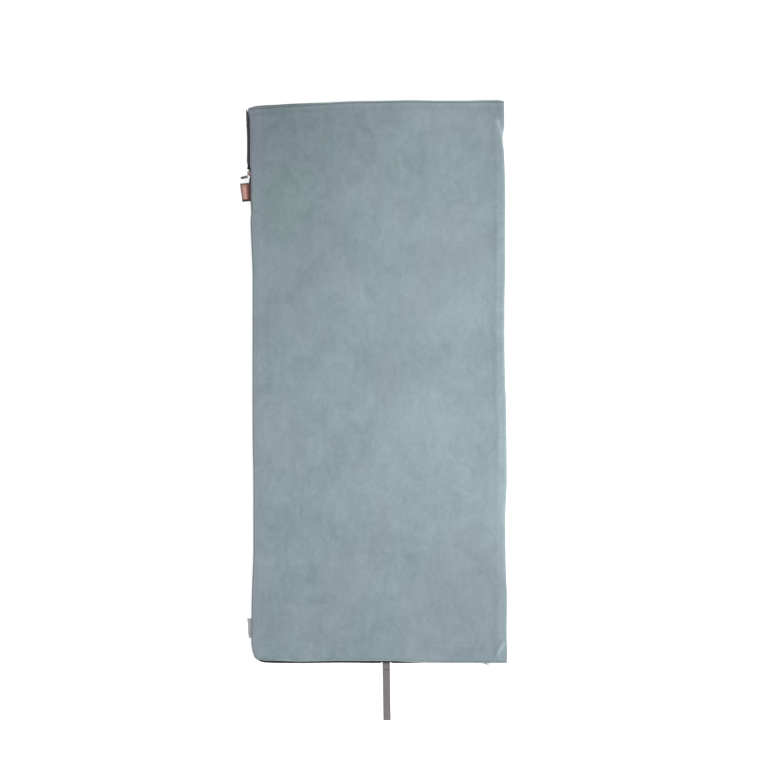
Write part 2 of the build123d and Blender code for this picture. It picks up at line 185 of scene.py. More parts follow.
def along(s):
    """(point, outward direction) on the zip path, both in the plan."""
    s = np.atleast_1d(np.asarray(s, float))
    turn = np.clip((s - SIDE_RUN) / CORNER_R, 0, math.pi / 2)
    before = np.minimum(s, SIDE_RUN)
    after = np.maximum(s - SIDE_RUN - CORNER_RUN, 0)
    outward = np.stack([-np.cos(turn), -np.sin(turn)], axis=1)
    centre = np.stack([EDGE_X + CORNER_R + after, HEAD_Y - before], axis=1)
    return centre + outward * CORNER_R, outward


def nearest(x, y):
    """(distance inside the zip path, s of the nearest point on it)."""
    over_x, over_y = EDGE_X + CORNER_R - x, FOOT_Y + CORNER_R - y
    corner = (over_x > 0) & (over_y > 0)
    inside = CORNER_R - np.where(corner, np.hypot(over_x, over_y), np.maximum(over_x, over_y))
    turn = np.arctan2(np.maximum(over_y, 0), np.maximum(over_x, 1e-9))
    s = np.where(corner, SIDE_RUN + turn * CORNER_R, np.where(over_x >= over_y, at_y(y), at_x(x)))
    return inside, s


def path_curve(side, corner=(), foot=()):
    """Curve along the path: its points by y on the side, by run into the corner, and by x on the foot."""
    return curve_through(
        *[(at_y(y), value) for y, value in side],
        *[(SIDE_RUN + run, value) for run, value in corner],
        *[(at_x(x), value) for x, value in foot],
    )


# How far the cover's edge, the closed zip and the opened tape stand out from the path
LOWER_SIDE = [(527, 2.6), (445, -0.2), (330, -4.1), (-64, -3.6), (-196, -4.2), (-327, -6.4), (-557, -6.6),
              (-656, -3.1), (-740, -0.6)]
cover_edge = path_curve(
    [(905, 13.4), (886, 10.8), (872, 7.0), (855, 5.2), (800, 4.6), (706, 4.4), (694, 1.4), (600, 1.4),
     (580, -1.0), (560, -0.4), (495, 2.0), *LOWER_SIDE, (-862, 0.0)],
    [(9, -1.8), (24, 0.2), (43, 5.0), (49, 4.0), (58, -0.3)],
    [(-368, -1.6), (-340, -1.4), (-260, 1.2), (-128, -1.2), (-15, -0.8), (24, -1.0), (69, 0.4), (100, 2.4),
     (140, 4.6), (175, 5.8), (330, 6.0), (419, 6.6)],
)
zip_out = path_curve(
    [(886, 5.6), (712, 5.6), (706, 6.4), (699, 10.2), (692, 0.8), (689, 0.0), (672, 0.4), (662, 2.6),
     (652, 3.4), (640, 3.0), (600, 0.6), (580, -2.6), *[(y, edge - 6.4) for y, edge in LOWER_SIDE],
     (-862, -5.4)],
    [(24, -6.0), (43, -1.5), (52, 1.0)],
    [(-368, 1.4), (-340, 2.5), (-260, 3.0), (-128, 1.6), (3, 2.9), (10, 0.0), (39, 0.0), (46, 2.9),
     (105, 2.6), (140, 2.0), (180, 0.0), (390, 0.0)],
)
open_reach = path_curve(
    [(886, 18.4), (860, 17.8), (840, 17.2), (815, 15.6), (780, 15.0), (725, 15.8), (706, 17.0), (696, 15.5),
     (688, 9.0)],
)
# The fold's outline by y, and the head's by x
fold_edge = curve_through(
    (-920, 421.5), (-892, 422.5), (-866, 421.0), (-820, 420.2), (-721, 421.2), (-590, 416.8), (-458, 416.0),
    (-327, 421.0), (-196, 420.0), (-64, 418.0), (2, 415.2), (133, 413.2), (264, 413.4), (396, 415.8),
    (495, 415.2), (593, 416.0), (692, 414.0), (751, 411.6), (797, 406.8), (813, 408.4), (836, 412.8),
    (889, 412.2), (920, 411.6),
)
head_line = curve_through(
    (-436, -22.0), (-419, -19.0), (-396, -15.3), (-363, -13.0), (-340, -12.0), (-307, -9.6), (-274, -7.8),
    (-225, -6.0), (-159, -3.4), (-94, -1.0), (5, 0.6), (103, 2.6), (202, 1.2), (268, 1.2), (333, 2.6),
    (389, 3.2), (412, 1.6),
)
cover_back = curve_through((-436, 4.5), (-300, 4.5), (-200, 2.0), (-90, 0.0))
base_back = curve_through((-200, 0.0), (-60, 3.5))


def base_edge(s):
    return cover_edge(s) - 3.0 * ease(s, 12, 20)


def cover_head(x):
    return head_line(x) - cover_back(x)


def base_head(x):
    return head_line(x) - base_back(x)


# Meshes


def new_mesh(name, points, faces):
    mesh = bpy.data.meshes.new(name)
    mesh.from_pydata((np.asarray(points, float) * MM).tolist(), [], [list(map(int, f)) for f in faces])
    mesh.validate()
    mesh.polygons.foreach_set("use_smooth", [True] * len(mesh.polygons))
    piece = bpy.data.objects.new(name, mesh)
    bpy.context.scene.collection.objects.link(piece)
    return piece


def modify(piece, kind, **settings):
    """Applies one modifier, so that its result is the piece's own mesh."""
    changer = piece.modifiers.new(kind.lower(), kind)
    for name, value in settings.items():
        setattr(changer, name, value)
    bpy.context.view_layer.update()
    graph = bpy.context.evaluated_depsgraph_get()
    mesh = bpy.data.meshes.new_from_object(
        piece.evaluated_get(graph), preserve_all_data_layers=True, depsgraph=graph
    )
    piece.modifiers.clear()
    old, piece.data = piece.data, mesh
    mesh.name = old.name
    bpy.data.meshes.remove(old)
    return piece


def thicken(piece, thickness):
    return modify(piece, "SOLIDIFY", thickness=thickness * MM, offset=0.0, use_even_offset=False,
                  use_quality_normals=True)


def grid_faces(rows, columns, first=0, closed_columns=False):
    """Quads of a grid of points numbered row by row."""
    ends = columns if closed_columns else columns - 1
    r, c = np.meshgrid(np.arange(rows - 1), np.arange(ends), indexing="ij")
    r, c = r.ravel(), c.ravel()
    after = (c + 1) % columns
    low, high = r * columns, (r + 1) * columns
    return first + np.stack([low + c, low + after, high + after, high + c], axis=1)


def rim_of(index):
    """Point numbers round the border of a grid of them, its first row first."""
    return np.concatenate([index[0], index[1:, -1], index[-1, -2::-1], index[-2:0:-1, 0]])


def grid_mesh(name, grid):
    return new_mesh(name, grid.reshape(-1, 3), grid_faces(*grid.shape[:2]))


def unit(vectors):
    return vectors / np.linalg.norm(vectors, axis=1)[:, None]


def circle(sides):
    return np.linspace(0, 2 * math.pi, sides, endpoint=False)


def steps(start, end, size):
    return np.linspace(start, end, max(2, int(round(abs(end - start) / size)) + 1))


def graded(places, sizes):
    """Stretches joined end to end, each cut into steps of about its own size."""
    runs = [steps(*stretch) for stretch in zip(places, places[1:], sizes)]
    return np.concatenate([runs[0]] + [run[1:] for run in runs[1:]])


def paint(piece, look):
    piece.data.materials.clear()
    piece.data.materials.append(look)


def dress(piece, look, body=None, nodes=()):
    """Gives a piece its material, the nodes it stands for and the body it rides on."""
    paint(piece, look)
    if nodes:
        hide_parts(*nodes)
    if body:
        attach(piece, body)


def set_attribute(piece, name, values):
    layer = piece.data.attributes.new(name, "FLOAT", "POINT")
    layer.data.foreach_set("value", np.asarray(values, np.float32))


def points_of(piece):
    return np.array([v.co for v in piece.data.vertices], float) / MM


# The wrapped sheets: one cloth over the cover, round the fold and under the base


class Wrap:
    """Grid of a cloth that goes over the cover, round the fold and back along the base."""

    def __init__(self, cover_w, base_w, head_back, fold_back, ring, fine):
        self.ring, self.head_back, self.fold_back = ring, head_back, fold_back
        width = FOLD_X - EDGE_X
        self.across = graded((0, 60, width - 55, width), (fine, COARSE, 2 * fine)) / width
        round_corner = SIDE_RUN + np.linspace(math.pi / 2, 0, 15) * CORNER_R
        up_side = graded(
            (SIDE_RUN, SIDE_RUN - 25, at_y(540), at_y(720), 145, 55, 0),
            (2 * fine, COARSE, 1.6 * fine, COARSE, 2 * fine, fine),
        )
        self.rows_s = np.concatenate([round_corner, up_side[1:]])
        self.cover = self.panel(cover_w, cover_head)
        self.base = self.panel(base_w, base_head)

    def panel(self, edge, head):
        """Plan points of one panel, rows from foot to head and columns from zip to fold."""
        top_y = HEAD_Y - self.head_back
        corner_y = top_y + head(EDGE_X - edge(0.0))
        share = (SIDE_RUN - self.rows_s) / SIDE_RUN
        s = np.where(self.rows_s >= SIDE_RUN, self.rows_s, SIDE_RUN - share * (SIDE_RUN - at_y(corner_y)))
        point, outward = along(s)
        left = point + outward * edge(s)[:, None]
        t = (left[:, 1] - left[0, 1]) / (left[-1, 1] - left[0, 1])
        u = self.across
        right_y = mix(FOOT_Y - edge(at_x(FOLD_X)), top_y + head(FOLD_X), t)
        right_x = fold_edge(right_y) - self.fold_back - self.ring
        x = left[:, :1] * (1 - u) + right_x[:, None] * u
        foot_y = FOOT_Y - edge(at_x(mix(left[0, 0], right_x[0], u)))
        foot_off = foot_y - mix(foot_y[0], foot_y[-1], u)
        head_y = top_y + head(mix(left[-1, 0], right_x[-1], u))
        head_off = head_y - mix(head_y[0], head_y[-1], u)
        y = left[:, 1:] * (1 - u) + right_y[:, None] * u
        y = y + (1 - t[:, None]) * foot_off + t[:, None] * (head_off + (head_y[0] - left[-1, 1]) * (1 - u))
        return np.stack([x, y], axis=2)

    def fold_round(self, top, low):
        """Points round the fold, from the cover's last column to the base's."""
        turn = np.linspace(math.pi / 2, -math.pi / 2, RING_STEPS + 1)[1:-1]
        share = (1 - np.sin(turn)) / 2
        ring = top[:, None] * (1 - share[:, None]) + low[:, None] * share[:, None]
        ring[..., 0] += self.ring * np.cos(turn)
        up, down = top[:, 2:] - MID_Z, MID_Z - low[:, 2:]
        ring[..., 2] = MID_Z + np.where(np.sin(turn) > 0, up, down) * np.sin(turn)
        return ring

    def build(self, name, cover_z, base_z, strip):
        """Makes the mesh: both panels, the fold's ring, and the strip round the boundary."""
        rows = len(self.rows_s)
        cover = np.dstack([self.cover, cover_z(self.cover[..., 0], self.cover[..., 1])])
        base = np.dstack([self.base, base_z(self.base[..., 0], self.base[..., 1])])
        grid = np.concatenate([cover, self.fold_round(cover[:, -1], base[:, -1]), base[:, ::-1]], axis=1)
        columns = grid.shape[1]
        points, faces = [grid.reshape(-1, 3)], [grid_faces(rows, columns)]
        first = rows * columns
        inner = rim_of(np.arange(first).reshape(rows, columns).T)
        start = points[0][inner]
        for row in strip(start, *boundary_frame(start, inner, rows, columns)):
            outer = first + np.arange(len(row))
            points.append(row)
            faces.append(np.stack([np.roll(inner, -1), inner, outer, np.roll(outer, -1)], axis=1))
            inner, first = outer, first + len(row)
        piece = new_mesh(name, np.concatenate(points), np.concatenate(faces))
        return modify(piece, "WELD", merge_threshold=0.02 * MM)


def boundary_frame(start, number, rows, columns):
    """For each boundary point: its outward direction, its place, and -1 on the cover or 1 on the base."""
    r, c = np.divmod(number, columns)
    at_head = r == rows - 1
    at_foot = r == 0
    side = (c == 0) | (c == columns - 1)
    outward = np.zeros((len(number), 3))
    outward[:, :2] = along(nearest(start[:, 0], start[:, 1])[1])[1]
    outward[at_head] = (0, 1, 0)
    outward[at_foot & ~side] = (0, -1, 0)
    outward[at_head & side] = (-1, 1, 0)
    below = np.where(c > columns // 2, 1.0, -1.0)
    return outward, at_head, at_foot, side, below


# Sections of the turned edges: the distance outwards, with the rise for LIP and SEWN
# and the share of the way to the inner edge for WALL and HEM
LIP = [(0.8, 0.03), (1.6, 0.15), (2.3, 0.38), (2.8, 0.68), (3.0, 1.0), (2.8, 1.32), (2.2, 1.56), (1.2, 1.68),
       (-0.4, 1.72), (-2.5, 1.75)]
WALL = [(0.8, 0.01), (1.6, 0.03), (2.3, 0.07), (2.8, 0.13), (3.0, 0.21), (3.1, 0.34), (3.1, 0.5), (3.1, 0.67),
        (3.1, 0.84), (3.1, 1.0)]
HEM = [(1.8, 0.03), (3.4, 0.13), (4.4, 0.3), (4.75, 0.5), (4.4, 0.7), (3.4, 0.87), (1.8, 0.97), (-2.0, 1.0),
       (-10.0, 0.99), (-19.0, 0.93)]
SEWN = [(1.2, 0.25), (2.4, 0.9), (3.5, 2.0), (4.2, 3.3), (4.6, 4.8)]
HEM_INNER_Z = 1.4
HEM_APEX = 8.5


def fleece_strip(start, outward, at_head, at_foot, side, below):
    """Turned lip along the zip, closed wall at the foot of the fold, and hem at the head."""
    closed = ease(start[:, 0], BOX_LOW[0] - 4, 16) * at_foot
    run_in = np.maximum(start[:, 0] - start[at_head & side][:, 0].max(), 0)
    hem = np.where(at_head, ease(run_in, 0, 14), 0.0)
    past = start[:, 0] - (fold_edge(start[:, 1]) - FOLD_RING)
    bend = np.clip(past / FOLD_RING, 0, 1)
    inner = start.copy()
    inner[:, 2] = MID_Z - below * HEM_INNER_Z * np.sqrt(1 - bend**2)
    inner[:, 0] -= np.where(past > 0, past * (1 - HEM_APEX / FOLD_RING), 0)
    wall_end = start.copy()
    wall_end[:, 2] = MID_Z - below * np.minimum(HALF_GAP, np.abs(start[:, 2] - MID_Z))
    made = []
    for lip, wall, roll in zip(LIP, WALL, HEM):
        lip_point = start + outward * lip[0]
        lip_point[:, 2] += below * lip[1]
        wall_point = start + outward * wall[0] + (wall_end - start) * wall[1]
        hem_point = start + outward * roll[0] + (inner - start) * roll[1]
        point = mix(lip_point, wall_point, closed[:, None])
        made.append(mix(point, hem_point, hem[:, None]))
    return made


def lining_strip(start, outward, at_head, at_foot, side, below):
    """The lining turns away from the middle and is sewn to the back of the zip tape."""
    outward[at_head & side] = (-1, 0, 0)
    along_head = at_head & ~side
    round_fold = ease(start[:, 0], BOX_HIGH[0], 12) * at_foot
    made = []
    for out, up in SEWN:
        point = start + outward * (out * np.where(along_head, 0.4, 1.0) * (1 - 0.8 * round_fold))[:, None]
        point[:, 2] -= below * up * np.where(along_head, 0.25, 1.0) * (1 - 0.95 * round_fold)
        made.append(point)
    return made


# Surface heights


def beside(x, y, start, end):
    """(share of the way along a line, distance out on its right)."""
    run_x, run_y = end[0] - start[0], end[1] - start[1]
    off_x, off_y = x - start[0], y - start[1]
    length = math.hypot(run_x, run_y)
    return (off_x * run_x + off_y * run_y) / length**2, (off_x * run_y - off_y * run_x) / length


def crease(x, y, start, end, width, height):
    """Ridge or groove along a short line, fading at its ends."""
    t, off = beside(x, y, start, end)
    return height * ease(t, -0.25, 0.4) * ease(t, 1.25, -0.4) * narrow_bell(off, width)


def corner_dent(x, y, start, end, reach, depth):
    """The cloth beyond a line, on its right, lies lower."""
    return -depth * ease(beside(x, y, start, end)[1], 0, reach)


long_waves = soft_field(3, 260, 620)
short_waves = soft_field(8, 70, 170)
nap_waves = soft_field(21, 90, 400, 12)
fold_waves = soft_field(5, 45, 120)
fold_ridge = curve_through(
    (-920, 0.7), (-850, 0.9), (-700, 0.5), (-450, 0.6), (-250, 0.9), (-60, 1.3), (60, 1.0), (280, 1.1),
    (430, 1.5), (560, 1.0), (700, 0.7), (800, 1.2), (900, 0.3),
)
COVER_CREASES = (
    ((383, 864), (401, 812), 5.0, 2.2), ((410, -852), (384, -900), 4.0, 2.0),
    ((-296, -821), (-300, -877), 4.0, -1.3), ((402, -150), (388, -215), 7.0, 1.6),
    ((-417, 884), (-418, 800), 2.2, -0.8), ((-407, 876), (-409, 826), 2.4, -0.7),
    ((-398, 330), (-384, 290), 4.0, -1.0),
)
simulated = {}


def pad_rise(x, y):
    """How far the wadding lifts the cover, from the cloth simulation."""
    if not simulated:
        return 0.0
    places, z = (simulated["x"], simulated["y"]), simulated["rise"]
    spot_at, part = [], []
    for value, grid in zip((x, y), places):
        cell = np.clip((value - grid[0]) / (grid[-1] - grid[0]), 0, 1) * (len(grid) - 1)
        first = np.minimum(cell.astype(int), len(grid) - 2)
        spot_at.append(first)
        part.append(smoothstep(cell - first))
    (i, j), (u, v) = spot_at, part
    return mix(mix(z[j, i], z[j, i + 1], u), mix(z[j + 1, i], z[j + 1, i + 1], u), v)


def edge_distances(x, y, edge, head):
    """Distances inwards from the zip's edge, the head and the fold, and the path's s."""
    inside, s = nearest(x, y)
    return inside + edge(s), HEAD_Y + head(x) - y, fold_edge(y) - x, s


def cover_height(x, y):
    """Middle of the cover's fleece above the floor."""
    from_zip, from_head, from_fold, s = edge_distances(x, y, cover_edge, cover_head)
    fill = ease(from_zip, 6, 75) * ease(from_head, 14, 80) * ease(from_fold, 4, 50)
    long, short = long_waves(x, y), short_waves(x, y)
    clear_head = ease(from_head, 0, 60)
    z = EDGE_Z + 2.4 * fill + pad_rise(x, y) * ease(from_zip, 0, 30) * ease(from_fold, 0, 25)
    z = z + 1.1 * fill * long + 0.35 * fill * short
    z = z + 0.75 * ease(from_zip, STITCH_INSET, 14) * ease(from_head, HEM_INSET, 14)
    z = z - 0.55 * narrow_bell(from_zip - STITCH_INSET, 1.6) - 0.6 * narrow_bell(from_head - HEM_INSET, 1.8)
    z = z + 0.25 * bell(from_zip - 17, 6) * np.sin(s / 5.2 + 2 * short)
    z = z + 0.22 * bell(from_head - 29, 8) * np.sin(x / 6.1 + 2 * short)
    z = z + 3.0 * fold_ridge(y) * bell(from_fold - 27, 12) * clear_head
    z = z + 1.3 * np.exp(-from_fold / 45) * fold_waves(x, y) * clear_head
    z = z + sum(crease(x, y, *line) for line in COVER_CREASES)
    z = z + corner_dent(x, y, (408, 800), (384, 862), 12, 2.6) * ease(y, 775, 40)
    z = z + corner_dent(x, y, (387, -900), (411, -862), 10, 2.4) * ease(y, -835, -30)
    return np.maximum(z, MID_Z + 7)


def base_height(x, y):
    """Middle of the base's fleece: it lies flat on the floor."""
    from_zip, from_head = edge_distances(x, y, base_edge, base_head)[:2]
    z = TOP_Z - EDGE_Z - 0.2 * ease(from_zip, 0, 40)
    return z + 0.3 * narrow_bell(from_zip - STITCH_INSET, 1.6) + 0.3 * narrow_bell(from_head - HEM_INSET, 1.8)


def lining_loft(x, y, edge, head):
    from_zip, from_head, from_fold = edge_distances(x, y, edge, head)[:3]
    return ease(from_zip, 15, 60) * ease(from_head, 25, 60) * ease(from_fold, 10, 60)


def cover_lining_height(x, y):
    loft = lining_loft(x, y, cover_edge, cover_head)
    z = 12.95 + loft * (0.35 * long_waves(x + 40, y) + 0.25 * short_waves(x, y + 30) - 0.2)
    return np.maximum(z, MID_Z + LINING_CLEAR)


def base_lining_height(x, y):
    loft = lining_loft(x, y, base_edge, base_head)
    z = 9.05 + loft * (0.4 * long_waves(x, y + 90) + 0.25 * short_waves(x + 60, y) - 0.1)
    return np.minimum(z, MID_Z - LINING_CLEAR)


# Cloth simulation of the wadding


def pad_points(x, y, top, bottom):
    """Closed pad on a regular grid: its top, its bottom, and the rim that joins them."""
    grid_x, grid_y = np.meshgrid(x, y)
    layers = [np.dstack([grid_x, grid_y, side(grid_x, grid_y)]).reshape(-1, 3) for side in (top, bottom)]
    rows, columns = grid_x.shape
    count = rows * columns
    index = np.arange(count).reshape(rows, columns)
    rim = rim_of(index)
    after = np.roll(rim, -1)
    wall = np.stack([after, rim, rim + count, after + count], axis=1)
    faces = [grid_faces(rows, columns), grid_faces(rows, columns, count)[:, ::-1], wall]
    return np.concatenate(layers), np.concatenate(faces)


PAD_CLOTH = {
    "quality": 5, "mass": 0.3, "tension_stiffness": 12, "compression_stiffness": 12, "shear_stiffness": 5,
    "bending_stiffness": 2.5, "tension_damping": 12, "compression_damping": 12, "use_pressure": True,
    "uniform_pressure_force": 0.5, "shrink_min": -0.006,
}
LAST_FRAME = 20


def simulate_pad():
    """Fills the cover's pad: cloth with a little pressure and spare cloth, held at its rim."""
    x = steps(EDGE_X + 12, FOLD_X - 22, 17)
    y = steps(FOOT_Y + 12, HEAD_Y - 28, 17)
    points, faces = pad_points(
        x, y, lambda a, b: 19.0 + 0.5 * long_waves(a, b) + 0.3 * short_waves(a, b), lambda a, b: 14.0 + 0 * a
    )
    pad = new_mesh("pad_simulation", points, faces)
    count = len(x) * len(y)
    index = np.arange(count).reshape(len(y), len(x))
    held = np.concatenate([rim_of(index), count + index.ravel()])
    group = pad.vertex_groups.new(name="held")
    group.add(np.sort(held).tolist(), 1.0, "REPLACE")
    cloth = pad.modifiers.new("Cloth", "CLOTH")
    for name, value in PAD_CLOTH.items():
        setattr(cloth.settings, name, value)
    cloth.settings.vertex_group_mass = group.name
    cloth.settings.effector_weights.gravity = 0.0
    cloth.collision_settings.use_collision = False
    cloth.point_cache.frame_start, cloth.point_cache.frame_end = 1, LAST_FRAME
    for number in range(1, LAST_FRAME + 1):
        bpy.context.scene.frame_set(number)
    evaluated = pad.evaluated_get(bpy.context.evaluated_depsgraph_get())
    moved = np.array([v.co for v in evaluated.data.vertices], float) / MM
    rise = (moved[:, 2] - points[:, 2])[:count].reshape(index.shape)
    bpy.data.objects.remove(pad)
    bpy.context.scene.frame_set(1)
    scaled = PAD_RISE * np.clip(rise / np.percentile(rise, 97), -0.3, 1.2) - 1.0
    simulated.update(x=x, y=y, rise=scaled)


simulate_pad()


# Materials


def srgb(*levels):
    """Linear colour from levels of 0 to 255."""
    level = [value / 255 for value in levels]
    return tuple(v / 12.92 if v <= 0.04045 else ((v + 0.055) / 1.055) ** 2.4 for v in level) + (1.0,)


def darker(colour, share):
    return tuple(c * share for c in colour[:3]) + (1.0,)


class Nodes:
    """Small builder for a node material."""

    def __init__(self, name):
        self.material = bpy.data.materials.new(name)
        self.material.use_nodes = True
        self.tree = self.material.node_tree
        self.shader = self.tree.nodes["Principled BSDF"]
        self.place = self.tree.nodes.new("ShaderNodeTexCoord").outputs["Object"]

    def put(self, socket, value):
        """Links another node's output to a socket, or sets the socket's own value."""
        if isinstance(value, bpy.types.NodeSocket):
            self.tree.links.new(value, socket)
        elif value is not None:
            socket.default_value = value

    def add(self, kind, output, values, **settings):
        """Makes a node and gives one of its outputs."""
        node = self.tree.nodes.new("ShaderNode" + kind)
        for name, value in settings.items():
            setattr(node, name, value)
        for name, value in values.items():
            self.put(node.inputs[name], value)
        return node.outputs[output]

    def scaled(self, scale=(1, 1, 1), turn=(0, 0, 0)):
        values = {"Vector": self.place, "Scale": scale, "Rotation": turn}
        return self.add("Mapping", "Vector", values)

    def noise(self, scale, detail=3.0, rough=0.55, stretch=(1, 1, 1), swirl=0.0):
        values = {"Vector": self.scaled(stretch), "Scale": scale, "Detail": detail, "Roughness": rough,
                  "Distortion": swirl}
        return self.add("TexNoise", "Fac", values)

    def wave(self, scale, direction, **values):
        values = {"Vector": self.place, "Scale": scale, **values}
        return self.add("TexWave", "Fac", values, bands_direction=direction)

    def weave(self, scale):
        """Height of a plain weave from two crossed waves."""
        return self.times(self.wave(scale, "X"), self.wave(scale, "Y"))

    def plus(self, a, b, clamp=False):
        return self.add("Math", 0, {0: a, 1: b}, operation="ADD", use_clamp=clamp)

    def times(self, a, b, clamp=False):
        return self.add("Math", 0, {0: a, 1: b}, operation="MULTIPLY", use_clamp=clamp)

    def ramp(self, value, *stops):
        colour = self.add("ValToRGB", "Color", {"Fac": value})
        elements = colour.node.color_ramp.elements
        while len(elements) < len(stops):
            elements.new(0.5)
        for element, stop in zip(elements, stops):
            element.position, element.color = stop
        return colour

    def blend(self, share, a, b):
        return self.add("Mix", 2, {0: share, 6: a, 7: b}, data_type="RGBA")

    def span(self, value, low, high):
        return self.add("MapRange", "Result", {"Value": value, "To Min": low, "To Max": high})

    def bump(self, height, strength, distance, below=None):
        values = {"Height": height, "Strength": strength, "Distance": distance, "Normal": below}
        return self.add("Bump", "Normal", values)

    def attribute(self, name):
        return self.add("Attribute", "Fac", {}, attribute_name=name)

    def finish(self, colour, rough, normal=None, **constants):
        values = {"Base Color": colour, "Roughness": rough, "Normal": normal}
        values.update((name.replace("_", " "), value) for name, value in constants.items())
        for name, value in values.items():
            self.put(self.shader.inputs[name], value)
        return self.material

    def cloth(self, colour, rough, normal, sheen, specular):
        return self.finish(colour, rough, normal, Sheen_Weight=sheen, Specular_IOR_Level=specular)


def fleece_material(name, dark, light, tint, pile_scale, sheen):
    """Brushed fleece: mottled at every size, faintly streaked along Y by the nap, with a short pile, and with
    the painted light and shade held in a point attribute.
    """
    n = Nodes(name)
    mottle = n.noise(13.0, 6.0, 0.86, (1.0, 0.8, 1.0), 0.9)
    brushed = n.noise(55.0, 4.0, 0.7, (1.0, 0.45, 1.0))
    pile = n.noise(pile_scale, 6.0, 0.75)
    tuft = n.add("TexVoronoi", "Distance", {"Vector": n.place, "Scale": pile_scale * 0.45})
    level = n.plus(n.span(mottle, -0.5, 0.5), n.span(brushed, -0.22, 0.22))
    level = n.plus(level, n.span(pile, -0.22, 0.22))
    # The point attribute added here holds the nap's slow tone and the painted light and shade.
    level = n.plus(level, n.attribute("nap_tone_and_painted_light"), clamp=True)
    colour = n.blend(n.attribute("lilac"), n.blend(level, dark, light), tint)
    fuzz = n.bump(tuft, 0.25, 0.0009, n.bump(pile, 0.55, 0.0012))
    normal = n.bump(mottle, 0.5, 0.005, n.bump(brushed, 0.15, 0.0015, fuzz))
    return n.finish(colour, n.span(pile, 0.86, 1.0), normal, Sheen_Weight=sheen, Sheen_Roughness=0.55,
                    Specular_IOR_Level=0.12)


def wadding_material():
    n = Nodes("wadding fibre")
    fibre = n.noise(260.0, 6.0, 0.8, (1.0, 0.3, 1.0))
    clump = n.noise(30.0)
    colour = n.blend(n.times(fibre, clump), srgb(214, 214, 208), srgb(246, 246, 240))
    return n.cloth(colour, n.span(clump, 0.85, 1.0), n.bump(fibre, 0.6, 0.0015), 0.2, 0.1)


def tape_material():
    """Charcoal tape, near black with painted shade where the zip is shut."""
    n = Nodes("charcoal zip tape")
    threads = n.weave(420.0)
    wear = n.noise(60.0, 4.0)
    level = n.plus(n.times(threads, 0.7), n.span(wear, -0.1, 0.35), clamp=True)
    colour = n.blend(level, srgb(72, 73, 81), srgb(138, 138, 147))
    # Painted shade: where the zip is shut the tape is darkened towards near black.
    colour = n.blend(n.attribute("painted_shade_where_shut"), colour, srgb(26, 28, 32))
    return n.cloth(colour, n.span(wear, 0.7, 0.9), n.bump(threads, 0.6, 0.0004), 0.1, 0.25)


def webbing_material():
    """Narrow webbing: ribs along its length, fine weft across, darker at the selvedges, with painted shade at
    its root by the seam.
    """
    n = Nodes("ribbed webbing")
    ribs = n.wave(150.0, "X", Distortion=0.6, Detail=1.0)
    weft = n.wave(320.0, "Y")
    wear = n.noise(45.0, 4.0)
    level = n.plus(n.times(ribs, 0.55), n.times(weft, 0.25))
    level = n.plus(level, n.span(wear, -0.15, 0.25), clamp=True)
    colour = n.blend(level, srgb(92, 88, 93), srgb(144, 139, 143))
    # The attribute holds the dark selvedges and the painted shade at the root.
    colour = n.blend(n.attribute("selvedge_and_painted_shade"), colour, srgb(58, 56, 59))
    normal = n.bump(weft, 0.35, 0.0003, n.bump(ribs, 0.5, 0.0006))
    return n.cloth(colour, n.span(wear, 0.65, 0.85), normal, 0.15, 0.3)


def plastic_material(name, colour, other, rough):
    n = Nodes(name)
    speckle = n.noise(900.0, 3.0, 0.6)
    scuff = n.noise(120.0, 5.0, 0.7)
    # The glint attribute paints a highlight, a lighter grey, on the coil where it is laid open.
    mixed = n.blend(n.attribute("glint"), n.blend(scuff, colour, other), srgb(126, 125, 132))
    rough = n.span(scuff, rough - 0.08, rough + 0.2)
    return n.finish(mixed, rough, n.bump(speckle, 0.15, 0.0002), Specular_IOR_Level=0.45)


def enamel_material(name, colour, worn, rough):
    """Painted metal with rubbed edges."""
    n = Nodes(name)
    pointed = n.add("NewGeometry", "Pointiness", {})
    edge = n.ramp(pointed, (0.49, (0, 0, 0, 1)), (0.56, (1, 1, 1, 1)))
    scratch = n.noise(420.0, 5.0, 0.7, (1, 0.3, 1))
    patch = n.noise(140.0)
    share = n.times(edge, n.span(scratch, 0.2, 1.1), clamp=True)
    mixed = n.blend(share, n.blend(patch, colour, darker(colour, 0.72)), worn)
    rough = n.span(scratch, rough - 0.08, rough + 0.14)
    return n.finish(mixed, rough, n.bump(scratch, 0.12, 0.0002), Metallic=0.25, Coat_Weight=0.15,
                    Coat_Roughness=0.3)


def brushed_material(name, colour):
    n = Nodes(name)
    brush = n.noise(700.0, 4.0, 0.7, (0.15, 1, 1))
    tarnish = n.noise(160.0, 4.0)
    mixed = n.blend(n.span(tarnish, 0.0, 0.6), colour, darker(colour, 0.6))
    return n.finish(mixed, n.span(brush, 0.28, 0.5), n.bump(brush, 0.2, 0.0002), Metallic=0.9)


def rubber_material(name, dark, light):
    n = Nodes(name)
    grain = n.noise(1100.0, 4.0, 0.65)
    dust = n.noise(90.0, 4.0)
    mixed = n.blend(n.span(dust, 0.0, 0.8), dark, light)
    return n.finish(mixed, n.span(grain, 0.5, 0.75), n.bump(grain, 0.3, 0.0002), Specular_IOR_Level=0.35)


def thread_material(name, dark, light):
    """Twisted thread: fine slanting bands."""
    n = Nodes(name)
    twist = n.wave(900.0, "DIAGONAL", Vector=n.scaled(turn=(0.6, 0.3, 0.7)))
    normal = n.bump(twist, 0.4, 0.0002)
    return n.cloth(n.blend(twist, dark, light), n.span(twist, 0.45, 0.65), normal, 0.1, 0.35)


